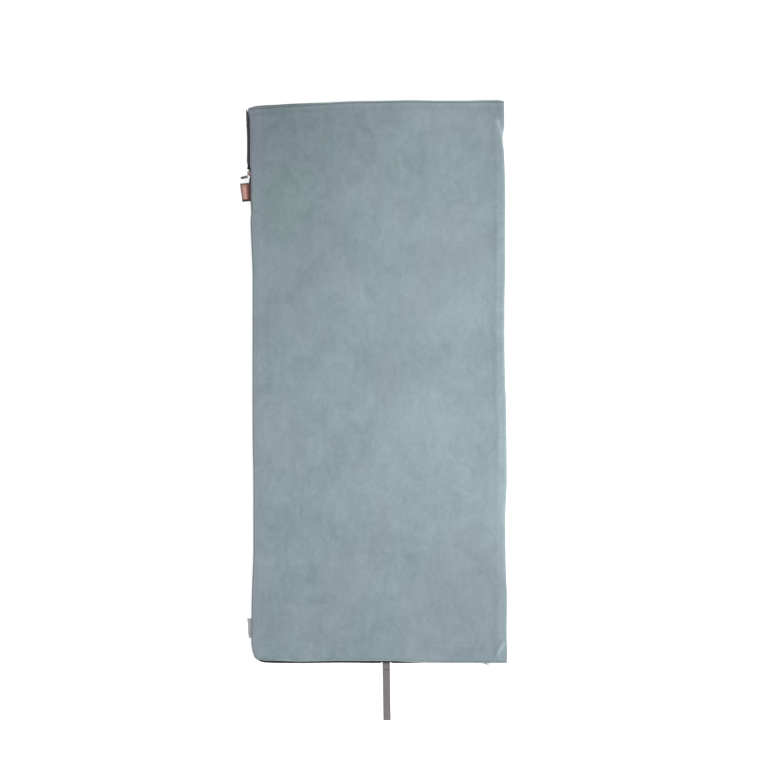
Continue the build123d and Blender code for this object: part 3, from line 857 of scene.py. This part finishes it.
def flag_material():
    """Woven label: salmon ground, dark selvedges at both ends, deep maroon by the seam deepened by painted
    shade, and a paler band near the fold, the salmon ground with a painted highlight.
    """
    n = Nodes("flag ribbon weave")
    threads = n.weave(520.0)
    wear = n.noise(130.0, 4.0)
    # Across the ribbon: deep maroon with painted shade by the seam, the salmon ground paling to a painted
    # highlight near the fold, and darker again at the fold.
    ground = n.ramp(
        n.attribute("across"), (0.0, srgb(56, 36, 33)), (0.27, srgb(78, 50, 44)), (0.38, srgb(118, 76, 68)),
        (0.5, srgb(176, 126, 118)), (0.8, srgb(184, 150, 143)), (1.0, srgb(104, 88, 82)),
    )
    colour = n.blend(n.attribute("ends"), ground, srgb(48, 38, 35))
    colour = n.blend(n.times(threads, 0.25), colour, srgb(120, 66, 60))
    return n.cloth(colour, n.span(wear, 0.6, 0.8), n.bump(threads, 0.4, 0.0003), 0.15, 0.3)


def patch_material():
    n = Nodes("woven patch")
    threads = n.weave(700.0)
    wear = n.noise(200.0, 4.0)
    level = n.plus(n.times(threads, 0.5), n.span(wear, 0, 0.4), clamp=True)
    colour = n.blend(level, srgb(186, 134, 124), srgb(228, 184, 174))
    return n.cloth(colour, n.span(wear, 0.6, 0.8), n.bump(threads, 0.5, 0.0003), 0.15, 0.3)


def satin_material():
    """Care label: satin ribbon with a fine weft and no lettering."""
    n = Nodes("satin ribbon")
    weft = n.wave(600.0, "Y")
    cloud = n.noise(70.0, 4.0)
    colour = n.blend(n.span(cloud, 0.0, 0.9), srgb(176, 180, 178), srgb(222, 224, 220))
    colour = n.blend(n.times(weft, 0.2), colour, srgb(150, 153, 152))
    return n.cloth(colour, n.span(cloud, 0.3, 0.45), n.bump(weft, 0.25, 0.0003), 0.1, 0.5)


outer_look = fleece_material("sea grey fleece", srgb(112, 130, 134), srgb(158, 176, 180), srgb(138, 140, 154),
                             520.0, 0.35)
lining_look = fleece_material("lilac grey lining", srgb(128, 130, 138), srgb(168, 170, 178),
                              srgb(160, 160, 168), 700.0, 0.3)
wadding_look = wadding_material()
tape_look = tape_material()
coil_look = plastic_material("black nylon coil", srgb(20, 21, 24), srgb(40, 42, 46), 0.35)
end_look = plastic_material("black moulded plastic", srgb(26, 27, 30), srgb(48, 50, 54), 0.42)
stitch_look = thread_material("sea grey thread", srgb(96, 112, 118), srgb(142, 158, 162))
dark_thread_look = thread_material("dark grey thread", srgb(58, 56, 60), srgb(104, 100, 104))
rust_look = enamel_material("rust enamel", srgb(98, 56, 50), srgb(140, 108, 101), 0.5)
grey_look = enamel_material("grey enamel", srgb(112, 122, 124), srgb(176, 180, 180), 0.4)
nickel_look = brushed_material("satin nickel", srgb(150, 152, 154))
grip_look = rubber_material("dark grey grip", srgb(74, 75, 78), srgb(122, 124, 126))


# Fleece and lining

# Painted light and shade: soft patches, each an amount, a middle and a reach.
PAINTED_LIGHT_SPOTS = (
    (-0.26, -450, 930, 220), (0.10, 350, 470, 280), (-0.12, 330, -700, 230), (0.12, 170, -190, 130),
    (-0.2, 404, 884, 16), (-0.16, 310, -800, 160),
)
GREY_SPOTS = ((0.35, 402, 884, 18), (0.22, 300, -800, 190))
# Painted highlights and painted shade along creases: start, end, width and amount.
PAINTED_CREASE_LIGHT = (
    ((387, 858), (408, 804), 5.0, 0.6), ((389, -894), (413, -860), 3.6, 0.42),
    ((-420, 884), (-418, 770), 2.8, -0.55), ((-409, 880), (-412, 810), 2.6, -0.4),
)


def spots(x, y, table):
    """Sum of soft round patches, each with an amount, a middle and a reach."""
    return sum(amount * narrow_bell(np.hypot(x - a, y - b), reach) for amount, a, b, reach in table)


def fleece_painted_light_and_tint(piece):
    """Painted light and shade: darker at the head by the zip, painted highlights at some edges; also a soft
    random tone from the nap and a lilac tint along the zip.
    """
    x, y = points_of(piece)[:, :2].T
    low = ease(y, 300, -900)
    margin = bell(np.maximum(x - EDGE_X - 4, 0), 26)
    open_part = margin * ease(y, 770, 80)
    upper_side = margin * ease(y, 620, 60)
    upper_right = ease(x, -280, 350) * ease(x, 390, -50) * ease(y, 80, 150)
    lower_left = ease(x, 100, -160) * ease(y, -320, -160)
    edge_glow = bell(x - EDGE_X + cover_edge(at_y(y)) - 3.5, 3.0) * ease(y, 830, 30)
    painted_shade_beside_lip = bell(x - EDGE_X - 6, 13) * ease(y, 740, 60)
    fold_shade = bell(np.maximum(FOLD_X - x - 0.5, 0), 4.0) * ease(y, -330, -200)
    head_light = bell(HEAD_Y + cover_head(x) - y, 4.5) * ease(x, -260, 120)
    foot_light = bell(FOOT_Y - cover_edge(at_x(x)) - y, 4.0) * ease(x, 230, -60)
    # Painted light and shade over the whole sheet: broadly lighter towards the foot and the right, darker at
    # the head and on the left; only the nap waves are a real change of tone.
    nap_tone_and_painted_light = 0.41 + 0.17 * ease(y, HEAD_Y, -1100) * (1 - 0.45 * ease(y, -560, -340))
    nap_tone_and_painted_light += 0.05 * nap_waves(x, y) - 0.05 * ease(x, 200, -500)
    nap_tone_and_painted_light += 0.11 * upper_right - 0.07 * lower_left - 0.04 * ease(y, -250, -500)
    nap_tone_and_painted_light += 0.09 * ease(x, 20, 120) * ease(y, 800, 70)
    # Painted patches of light and shade, and painted highlights and shade along the creases.
    nap_tone_and_painted_light += spots(x, y, PAINTED_LIGHT_SPOTS) + sum(crease(x, y, *line) for line in PAINTED_CREASE_LIGHT)
    # Painted light along the zip margin and a painted highlight beside the fold.
    nap_tone_and_painted_light += (0.10 + 0.10 * low) * margin * (1 - open_part) + 0.08 * bell(FOLD_X - x - 15, 14)
    # Painted highlights on the head and foot hems; painted shade on the fold's outer edge.
    nap_tone_and_painted_light += 0.3 * head_light + 0.35 * foot_light * ease(x, -350, 30) - 0.6 * fold_shade
    # Painted highlight on the zip's lip and painted shade just inside it.
    nap_tone_and_painted_light += 0.55 * edge_glow - 0.10 * painted_shade_beside_lip
    patches = smoothstep(0.5 + 0.5 * nap_waves(x + 500, y * 0.6))
    lilac = (0.2 + 0.3 * low) * margin + 0.42 * upper_side + 0.12 * patches + spots(x, y, GREY_SPOTS)
    set_attribute(piece, "nap_tone_and_painted_light", nap_tone_and_painted_light)
    set_attribute(piece, "lilac", np.clip(lilac, 0, 1))


def wrapped_sheet(piece, thickness, look, nodes):
    """Thickens and colours a sheet, which lies on the base below mid-height and on the cover above it."""
    thicken(piece, thickness)
    fleece_painted_light_and_tint(piece)
    dress(piece, look, nodes=nodes)
    low, high = (0, 0, (MID_Z - HALF_GAP) * MM), (0, 0, (MID_Z + HALF_GAP) * MM)
    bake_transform(piece)
    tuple(low)
    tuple(high)
    return piece


def lining_edge(s):
    return np.minimum(np.minimum(zip_out(s), cover_edge(s) - 4.0), -2.6) - 3.4


fleece_wrap = Wrap(lambda s: cover_edge(s) - EDGE_BACK, lambda s: base_edge(s) - EDGE_BACK,
                   HEM_BACK, FLEECE_T / 2, FOLD_RING, FINE)
fleece = wrapped_sheet(
    fleece_wrap.build("outer_fleece_shell", cover_height, base_height, fleece_strip),
    FLEECE_T, outer_look,
    ("base_outer_fleece", "cover_outer_fleece", "base_head_hem", "cover_head_hem"),
)
lining_wrap = Wrap(lining_edge, lining_edge, HEM_INSET - 3, FLEECE_T + 1.6, LINING_RING, 2 * FINE)
lining = wrapped_sheet(
    lining_wrap.build("lining_sheet", cover_lining_height, base_lining_height, lining_strip),
    LINING_T, lining_look, ("base_lining", "cover_lining"),
)


# Wadding


def wadding_pad(name, body, node, above, below):
    """Pad of fibre between the fleece and the lining, thinning at its rim."""
    x = graded((EDGE_X + 16, EDGE_X + 40, FOLD_X - 50, FOLD_X - 26), (6, 20, 6))
    y = graded((FOOT_Y + 16, FOOT_Y + 40, HEAD_Y - 60, HEAD_Y - 36), (6, 20, 6))

    def side(surface, lift):
        def height(a, b):
            from_rim = np.minimum.reduce([a - x[0], x[-1] - a, b - y[0], y[-1] - b])
            return mix((above(a, b) + below(a, b)) / 2 + lift, surface(a, b), ease(from_rim, 0, 14))

        return height

    points, faces = pad_points(x, y, side(above, 0.5), side(below, -0.5))
    inside, s = nearest(points[:, 0], points[:, 1])
    short = np.maximum(17 - (inside + np.minimum(np.minimum(zip_out(s), cover_edge(s)), -2.6)), 0)
    points[:, :2] -= along(s)[1] * short[:, None] * (inside < 30)[:, None]
    pad = new_mesh(name, points, faces)
    dress(pad, wadding_look, body, [node])


wadding_pad("cover_wadding_pad", "cover_panel", "cover_wadding",
            lambda a, b: cover_height(a, b) - 1.4, lambda a, b: cover_lining_height(a, b) + 1.2)
wadding_pad("base_wadding_pad", "base_panel", "base_wadding",
            lambda a, b: base_lining_height(a, b) - 1.2, lambda a, b: base_height(a, b) + 1.4)


# Zip

SPREAD = 1.6
TAPE_FACE = 2.0
FLANGE_Z, FACE_TOP_Z, FACE_LOW_Z = 18.05, 17.3, 11.9
COIL_OUT = 3.75
WIRE_R = 0.42
WIRE_SIDES = 4
WIRE_PER_TURN = 7


def zip_state(s, base):
    """(share laid flat, spread of the two halves) along the path: only the base's half is laid open."""
    y, x = HEAD_Y - s, s - at_x(0)
    past_head = ease(y, HEAD_SLIDER_Y - 4, 13.5) * (s < SIDE_RUN)
    past_foot = ease(x, FOOT_SLIDER_X + 5.5, 13.5)
    laid = ease(y, HEAD_SLIDER_HIGH[1], 34) if base else np.zeros_like(s)
    return laid, SPREAD * np.maximum(past_head, past_foot)


def sweep(name, sections):
    """Skin over closed cross-sections, one per place along the path, with capped ends."""
    rows, columns = sections.shape[:2]
    faces = grid_faces(rows, columns, closed_columns=True).tolist()
    faces.append(list(range(columns)))
    faces.append([(rows - 1) * columns + c for c in range(columns - 1, -1, -1)])
    return new_mesh(name, sections.reshape(-1, 3), faces)


def band(centre_w, centre_z, thickness):
    """Closed outline round a centre line of (w, z) points: rows of places, columns of points."""
    dw, dz = np.gradient(centre_w, axis=1), np.gradient(centre_z, axis=1)
    half = thickness / 2 / np.hypot(dw, dz)
    return [
        np.concatenate([centre + off * half, (centre - off * half)[:, ::-1]], axis=1)
        for centre, off in ((centre_w, -dz), (centre_z, dw))
    ]


def on_path(s, w, z):
    """3-D points at distances w outwards and heights z from places s on the path."""
    point, outward = along(s)
    return np.dstack([point[:, None, :] + outward[:, None, :] * w[..., None], z])


def path_places(size):
    return graded(
        (at_y(TAPE_END_Y), SIDE_RUN, SIDE_RUN + CORNER_RUN, at_x(TAPE_END_X)), (size, size / 2, size)
    )


def laid_share(piece, base):
    """Share laid flat at each of a piece's points."""
    x, y = points_of(piece)[:, :2].T
    return zip_state(nearest(x, y)[1], base)[0]


def zip_tape(name, body, node, base):
    """Woven tape: a flange under the fleece's lip, then a face that carries the coil."""
    s = path_places(3.0)
    laid, spread = zip_state(s, base)
    face = zip_out(s) + TAPE_FACE
    start = np.minimum(face - 6.0, (base_edge if base else cover_edge)(s) - 3.0)
    shut_w = [start, mix(start, face, 0.5), mix(start, face, 0.8), face - 0.15] + [face] * 4
    shut_z = [FLANGE_Z, FLANGE_Z, FLANGE_Z, FLANGE_Z - 0.25]
    shut_z += [mix(FACE_TOP_Z, FACE_LOW_Z, share) + spread * lift
               for share, lift in ((0, 0), (0.35, 0.4), (0.7, 0.7), (1, 1))]
    flat_w = [mix(start, open_reach(s), share) for share in (0, 0.12, 0.25, 0.4, 0.55, 0.7, 0.85, 1)]
    flat_z = [FLANGE_Z + lift for lift in (0, 0.1, 0.1, 0.2, 0.2, 0.2, 0.2, 0.2)]
    w = np.stack([mix(a, b, laid) for a, b in zip(shut_w, flat_w)], axis=1)
    z = np.stack([mix(a, b, laid) + 0 * s for a, b in zip(shut_z, flat_z)], axis=1)
    tape = sweep(name, on_path(s, *band(w, TOP_Z - z if base else z, TAPE_T)))
    # Painted shade on the tape wherever the zip is shut.
    set_attribute(tape, "painted_shade_where_shut", 1 - laid_share(tape, base))
    dress(tape, tape_look, body, [node])


def coil_centre(s, base):
    """(w, z, share laid flat) of the middle of the coil."""
    laid, spread = zip_state(s, base)
    w = mix(zip_out(s) + COIL_OUT, open_reach(s) - 2.0, laid)
    z = mix(MID_Z + 1.75 + spread, 20.05, laid)
    return w, (TOP_Z - z if base else z), laid


def zip_coil(name, body, node, base):
    """Helix of nylon wire; the two halves are half a turn out of step, so they interleave."""
    first, last = at_y(TAPE_END_Y), at_x(TAPE_END_X)
    s = np.linspace(first, last, int((last - first) / COIL_PITCH * WIRE_PER_TURN))
    phase = 2 * math.pi * (s / COIL_PITCH + (0.5 if base else 0.0))
    w, z, laid = coil_centre(s, base)
    across, up = mix(1.0, 1.75, laid) * np.cos(phase), mix(2.0, 0.9, laid) * np.sin(phase)
    point, outward = along(s)
    centre = np.column_stack([point + outward * (w + across)[:, None], z + up])
    tangent = unit(np.gradient(centre, axis=0))
    axis = np.column_stack([outward * np.cos(phase)[:, None], np.sin(phase)])
    axis = unit(axis - (axis * tangent).sum(1)[:, None] * tangent)
    other = np.cross(tangent, axis)
    turn = circle(WIRE_SIDES)[None, :, None]
    ring = centre[:, None] + WIRE_R * (axis[:, None] * np.cos(turn) + other[:, None] * np.sin(turn))
    coil = sweep(name, ring)
    # Painted highlight on the laid-open coil towards the head.
    set_attribute(coil, "glint", laid_share(coil, base) * ease(points_of(coil)[:, 1], 775, 60))
    dress(coil, coil_look, body, [node])


def coil_core(name, body, base):
    """Filler cord inside the coil, which the wire winds round."""
    s = path_places(5.0)
    w, z, laid = coil_centre(s, base)
    turn = circle(8)
    ring_w = w[:, None] + mix(0.62, 1.2, laid)[:, None] * np.cos(turn)
    ring_z = z[:, None] + mix(1.35, 0.5, laid)[:, None] * np.sin(turn)
    dress(sweep(name, on_path(s, ring_w, ring_z)), tape_look, body)


def top_stop(name, body, node, base):
    """Moulded stop with rounded edges, which closes over the last turns of the coil."""
    w, z, _ = coil_centre(np.array([at_y(TAPE_END_Y)]), base)
    low, high = box_mm(node)
    size = high - low
    point = along(at_y(TAPE_END_Y + size[1] / 2))[0]
    signs = np.array([(a, b, c) for c in (-1, 1) for b in (-1, 1) for a in (-1, 1)], float)
    centre = np.array((point[0, 0] - w[0], point[0, 1] - 0.6, z[0]))
    points = centre + signs * (size + (0.8, 1.2, 0.8)) / 2
    faces = [(0, 2, 3, 1), (4, 5, 7, 6), (0, 1, 5, 4), (2, 6, 7, 3), (0, 4, 6, 2), (1, 3, 7, 5)]
    stop = modify(new_mesh(name, points, faces), "BEVEL", width=0.7 * MM, segments=4)
    dress(stop, end_look, body, [node])


for half, is_base in (("cover", False), ("base", True)):
    zip_tape(half + "_tape", half + "_panel", half + "_zip_tape", is_base)
    zip_coil(half + "_coil", half + "_panel", half + "_zip_coil", is_base)
    coil_core(half + "_coil_core", half + "_panel", is_base)
    top_stop(half + "_stop", half + "_panel", half + "_top_stop", is_base)


# Stitches

STITCH_L = 2.5
STITCH_R = 0.32
STITCH_GAP = 3.7
# Places along a stitch, its thickness there and its lift
STATIONS = ((-0.5, 0.25, -0.35), (-0.3, 0.85, 0.05), (0.0, 1.0, 0.2), (0.3, 0.85, 0.05), (0.5, 0.25, -0.35))


def stitch_row(places, normal):
    """Points of short raised stitches, each along the row and sunk at its two ends."""
    step = unit(np.gradient(places, axis=0))
    side = unit(np.cross(normal, step))
    up = np.cross(step, side)
    turn = circle(5)[None, :, None]
    rings = []
    for at, share, lift in STATIONS:
        centre = places + step * STITCH_L * at + up * lift
        ring = side[:, None] * np.cos(turn) + up[:, None] * np.sin(turn)
        rings.append(centre[:, None] + ring * STITCH_R * share)
    return np.stack(rings, axis=1)


def panel_stitching(name, body, edge, head, height, up):
    """Rows of stitches along the zip side and foot, and across the head hem."""
    s = np.arange(at_y(HEAD_Y + float(head(EDGE_X)) - HEM_INSET), at_x(FOLD_X - 30), STITCH_GAP)
    point, outward = along(s)
    across = np.arange(EDGE_X + STITCH_INSET, FOLD_X - 34, STITCH_GAP)
    rows = []
    for plan in (point + outward * (edge(s) - STITCH_INSET)[:, None],
                 np.column_stack([across, HEAD_Y + head(across) - HEM_INSET])):
        z = height(plan[:, 0], plan[:, 1]) + up * (FLEECE_T / 2 + 0.12)
        rows.append(stitch_row(np.column_stack([plan, z]), (0.0, 0.0, float(up))))
    stitches = np.concatenate(rows)
    count, rings, sides = stitches.shape[:3]
    one = grid_faces(rings, sides, closed_columns=True).tolist()
    one += [list(range(sides - 1, -1, -1)), [(rings - 1) * sides + k for k in range(sides)]]
    firsts = range(0, count * rings * sides, rings * sides)
    faces = [[first + i for i in face] for first in firsts for face in one]
    dress(new_mesh(name, stitches.reshape(-1, 3), faces), stitch_look, body)


panel_stitching("cover_stitching", "cover_panel", cover_edge, cover_head, cover_height, 1)
panel_stitching("base_stitching", "base_panel", base_edge, base_head, base_height, -1)


# Labels

# Section of a folded ribbon: (share of its reach, share of its bulge), over, round its fold and back
RIBBON = np.array([(0.0, 0.35), (0.18, 0.8), (0.42, 1.0), (0.68, 0.9), (0.88, 0.6), (0.98, 0.25), (1.0, -0.1),
                   (0.96, -0.4), (0.82, -0.6), (0.55, -0.62), (0.25, -0.5), (0.0, -0.35)])
FLAG_SEAM_X, FLAG_SEAM_Z = EDGE_X + 1.0, FLAG_LOW[2] + 0.2
CARE_SEAM_X, CARE_SEAM_Z = EDGE_X + 1.5, CARE_LOW[2] + 0.6
FLAG_SLANT = 3.2


def label_mesh(name, rows_y, share, rise, seam_x, seam_z, reach, bulge, slant):
    """Sheet of points at shares of a label's reach and of its bulge, one row for each y."""
    return grid_mesh(name, np.array([
        np.column_stack([seam_x - share * reach(y), y + slant * (0.5 - share), seam_z + rise * bulge(y)])
        for y in rows_y
    ]))


def ribbon_loop(name, rows_y, seam_x, seam_z, reach, bulge, thickness, slant=0.0):
    """Ribbon folded in two and sewn in at the seam."""
    share, rise = RIBBON.T
    piece = label_mesh(name, rows_y, share, rise, seam_x, seam_z, reach, bulge, slant)
    along_label = np.repeat((rows_y - rows_y.min()) / (rows_y.max() - rows_y.min()), len(share))
    ends = np.maximum(ease(along_label, 0.13, -0.04), 0.8 * ease(along_label, 0.92, 0.03))
    set_attribute(piece, "across", np.tile(share, len(rows_y)))
    set_attribute(piece, "ends", ends)
    modify(piece, "SUBSURF", levels=2, render_levels=2)
    return thicken(piece, thickness)


def flag_reach(y):
    return mix(31.4, 38.4, (y - FLAG_LOW[1]) / (FLAG_HIGH[1] - FLAG_LOW[1])) + 0.5 * math.sin(y / 9)


def flag_bulge(y):
    return 2.6 + 0.5 * math.sin((y - FLAG_LOW[1]) / 19)


def care_reach(y):
    return mix(11.5, 16.0, (y - CARE_LOW[1]) / (CARE_HIGH[1] - CARE_LOW[1])) + 0.5 * math.sin(y / 7)


def care_bulge(y):
    return 1.5 + 0.4 * math.sin((y - CARE_LOW[1]) / 15)


def flag_patch():
    """Pale patch woven on the flag's upper face, with no lettering."""
    shares = np.linspace(0.52, 0.84, 10)
    face = curve_through(*map(tuple, RIBBON[:6]))
    piece = label_mesh("flag_patch", steps(FLAG_LOW[1] + 9, FLAG_HIGH[1] - 10, 3), shares, face(shares),
                       FLAG_SEAM_X, FLAG_SEAM_Z + 0.42, flag_reach, flag_bulge, FLAG_SLANT)
    thicken(piece, 0.25)
    dress(piece, patch_material(), "cover_panel", ["flag_label_print"])


flag = ribbon_loop("flag_ribbon", steps(FLAG_LOW[1], FLAG_HIGH[1], 3), FLAG_SEAM_X, FLAG_SEAM_Z,
                   flag_reach, flag_bulge, 0.5, FLAG_SLANT)
dress(flag, flag_material(), "cover_panel", ["flag_label"])
flag_patch()
care = ribbon_loop("care_ribbon", steps(CARE_LOW[1] + 1, CARE_HIGH[1] - 1, 3), CARE_SEAM_X, CARE_SEAM_Z,
                   care_reach, care_bulge, 0.4)
dress(care, satin_material(), "base_panel", ["care_label"])


# Roll-up strap


def strap():
    """Webbing doubled into a loop: out from the foot seam, round its end and back beneath."""
    low_x, high_x, seam_y = LOOP_LOW[0], LOOP_HIGH[0], LOOP_HIGH[1]
    half, end_y, root_y = (high_x - low_x) / 2 + 0.7, LOOP_LOW[1] - 0.6, FOOT_Y + 6
    upper_z, lower_z, bend = 2.45, 0.85, 0.8
    out_y = graded((root_y, seam_y - 8, end_y + 3), (2.0, 6.0))
    wave = 0.25 * np.sin((out_y - root_y) / 31) * np.minimum(1, (seam_y - out_y) / 60) * (out_y < seam_y)
    turn = np.linspace(math.pi / 2, -math.pi / 2, 9)[1:-1]
    over = np.column_stack([out_y, upper_z + wave])
    tip_y, tip_z = end_y + bend - bend * 1.6 * np.cos(turn), (upper_z + lower_z) / 2 + bend * np.sin(turn)
    under = np.column_stack([out_y[::-1], np.full(len(out_y), lower_z)])
    line = np.concatenate([over, np.column_stack([tip_y, tip_z]), under])
    shares = np.array([0, 0.2, 0.45, 0.7, 0.86, 0.93, 0.985, 1.0])
    shares = np.concatenate([-shares[:0:-1], shares])
    edge_lift = 0.10 * (np.abs(shares) > 0.8)
    lean = 2.6 * (np.maximum(seam_y - line[:, 0], 0) / 190) ** 1.2 - 0.6
    grid = np.zeros((len(line), len(shares), 3))
    grid[..., 0] = (low_x + high_x) / 2 + lean[:, None] + shares * half
    grid[..., 1] = line[:, :1]
    grid[..., 2] = line[:, 1:] + np.where(np.arange(len(line)) < len(out_y), 1, -0.4)[:, None] * edge_lift
    piece = grid_mesh("roll_up_strap", grid)
    # Dark selvedges; painted shade at the root is added to them below.
    selvedge_and_painted_shade = np.tile(0.6 * ease(np.abs(shares), 0.78, 0.16), (len(line), 1))
    # Painted shade at the strap's root by the foot seam.
    painted_root_shade = ease(line[:, :1], seam_y - 5, 4)
    set_attribute(piece, "selvedge_and_painted_shade", np.maximum(selvedge_and_painted_shade, painted_root_shade).ravel())
    thicken(piece, 1.05)
    dress(piece, webbing_material(), nodes=("roll_up_loop", "loop_root"))
    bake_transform(piece)


strap()


# CAD pieces that stay, with better materials

for node_name, look in (
    ("head_slider_body", rust_look), ("head_pull_link", rust_look), ("head_pull_grip", grip_look),
    ("foot_slider_body", grey_look), ("foot_pull_tab", nickel_look), ("zip_retainer_box", end_look),
    ("insertion_pin", nickel_look), ("loop_bar_tack", dark_thread_look),
):
    paint(frame["nodes"][node_name], look)


# Floor, light and camera


def floor():
    """Plain pale floor."""
    size, low = 30000.0, -0.2
    corners = [(-size, -size, low), (size, -size, low), (size, size, low), (-size, size, low)]
    piece = new_mesh("floor", corners, [(0, 1, 2, 3)])
    n = Nodes("pale floor")
    colour = n.blend(n.noise(2.0, 2.0), (0.93, 0.93, 0.93, 1), (0.96, 0.96, 0.96, 1))
    n.finish(colour, 0.7, Specular_IOR_Level=0.1, Emission_Color=(1, 1, 1, 1), Emission_Strength=0.5)
    piece.data.materials.append(n.material)


def soft_light(name, place, size, power):
    """Large area light that faces the origin, all in metres."""
    data = bpy.data.lights.new(name, "AREA")
    data.shape, data.size, data.energy = "DISK", size, power
    light = bpy.data.objects.new(name, data)
    light.location = place
    light.rotation_mode = "QUATERNION"
    light.rotation_quaternion = (-Vector(place)).to_track_quat("-Z", "Y")
    bpy.context.scene.collection.objects.link(light)


def camera():
    """Straight above, a little off the origin, with a long lens."""
    data = bpy.data.cameras.new("camera")
    data.lens, data.sensor_width, data.clip_end = 200, 36, 100
    eye = bpy.data.objects.new("camera", data)
    eye.location = (0.0164, -0.0099, 14.04)
    bpy.context.scene.collection.objects.link(eye)
    bpy.context.scene.camera = eye


def world():
    back = bpy.data.worlds.new("studio")
    back.use_nodes = True
    inputs = back.node_tree.nodes["Background"].inputs
    inputs["Color"].default_value, inputs["Strength"].default_value = (1, 1, 1, 1), 0.55
    bpy.context.scene.world = back


floor()
world()
soft_light("right light", (2.5, -1.3, 1.9), 2.0, 78)
soft_light("overhead light", (0.2, -0.5, 4.5), 3.0, 44)
camera()
bpy.context.scene.view_settings.view_transform = "Standard"
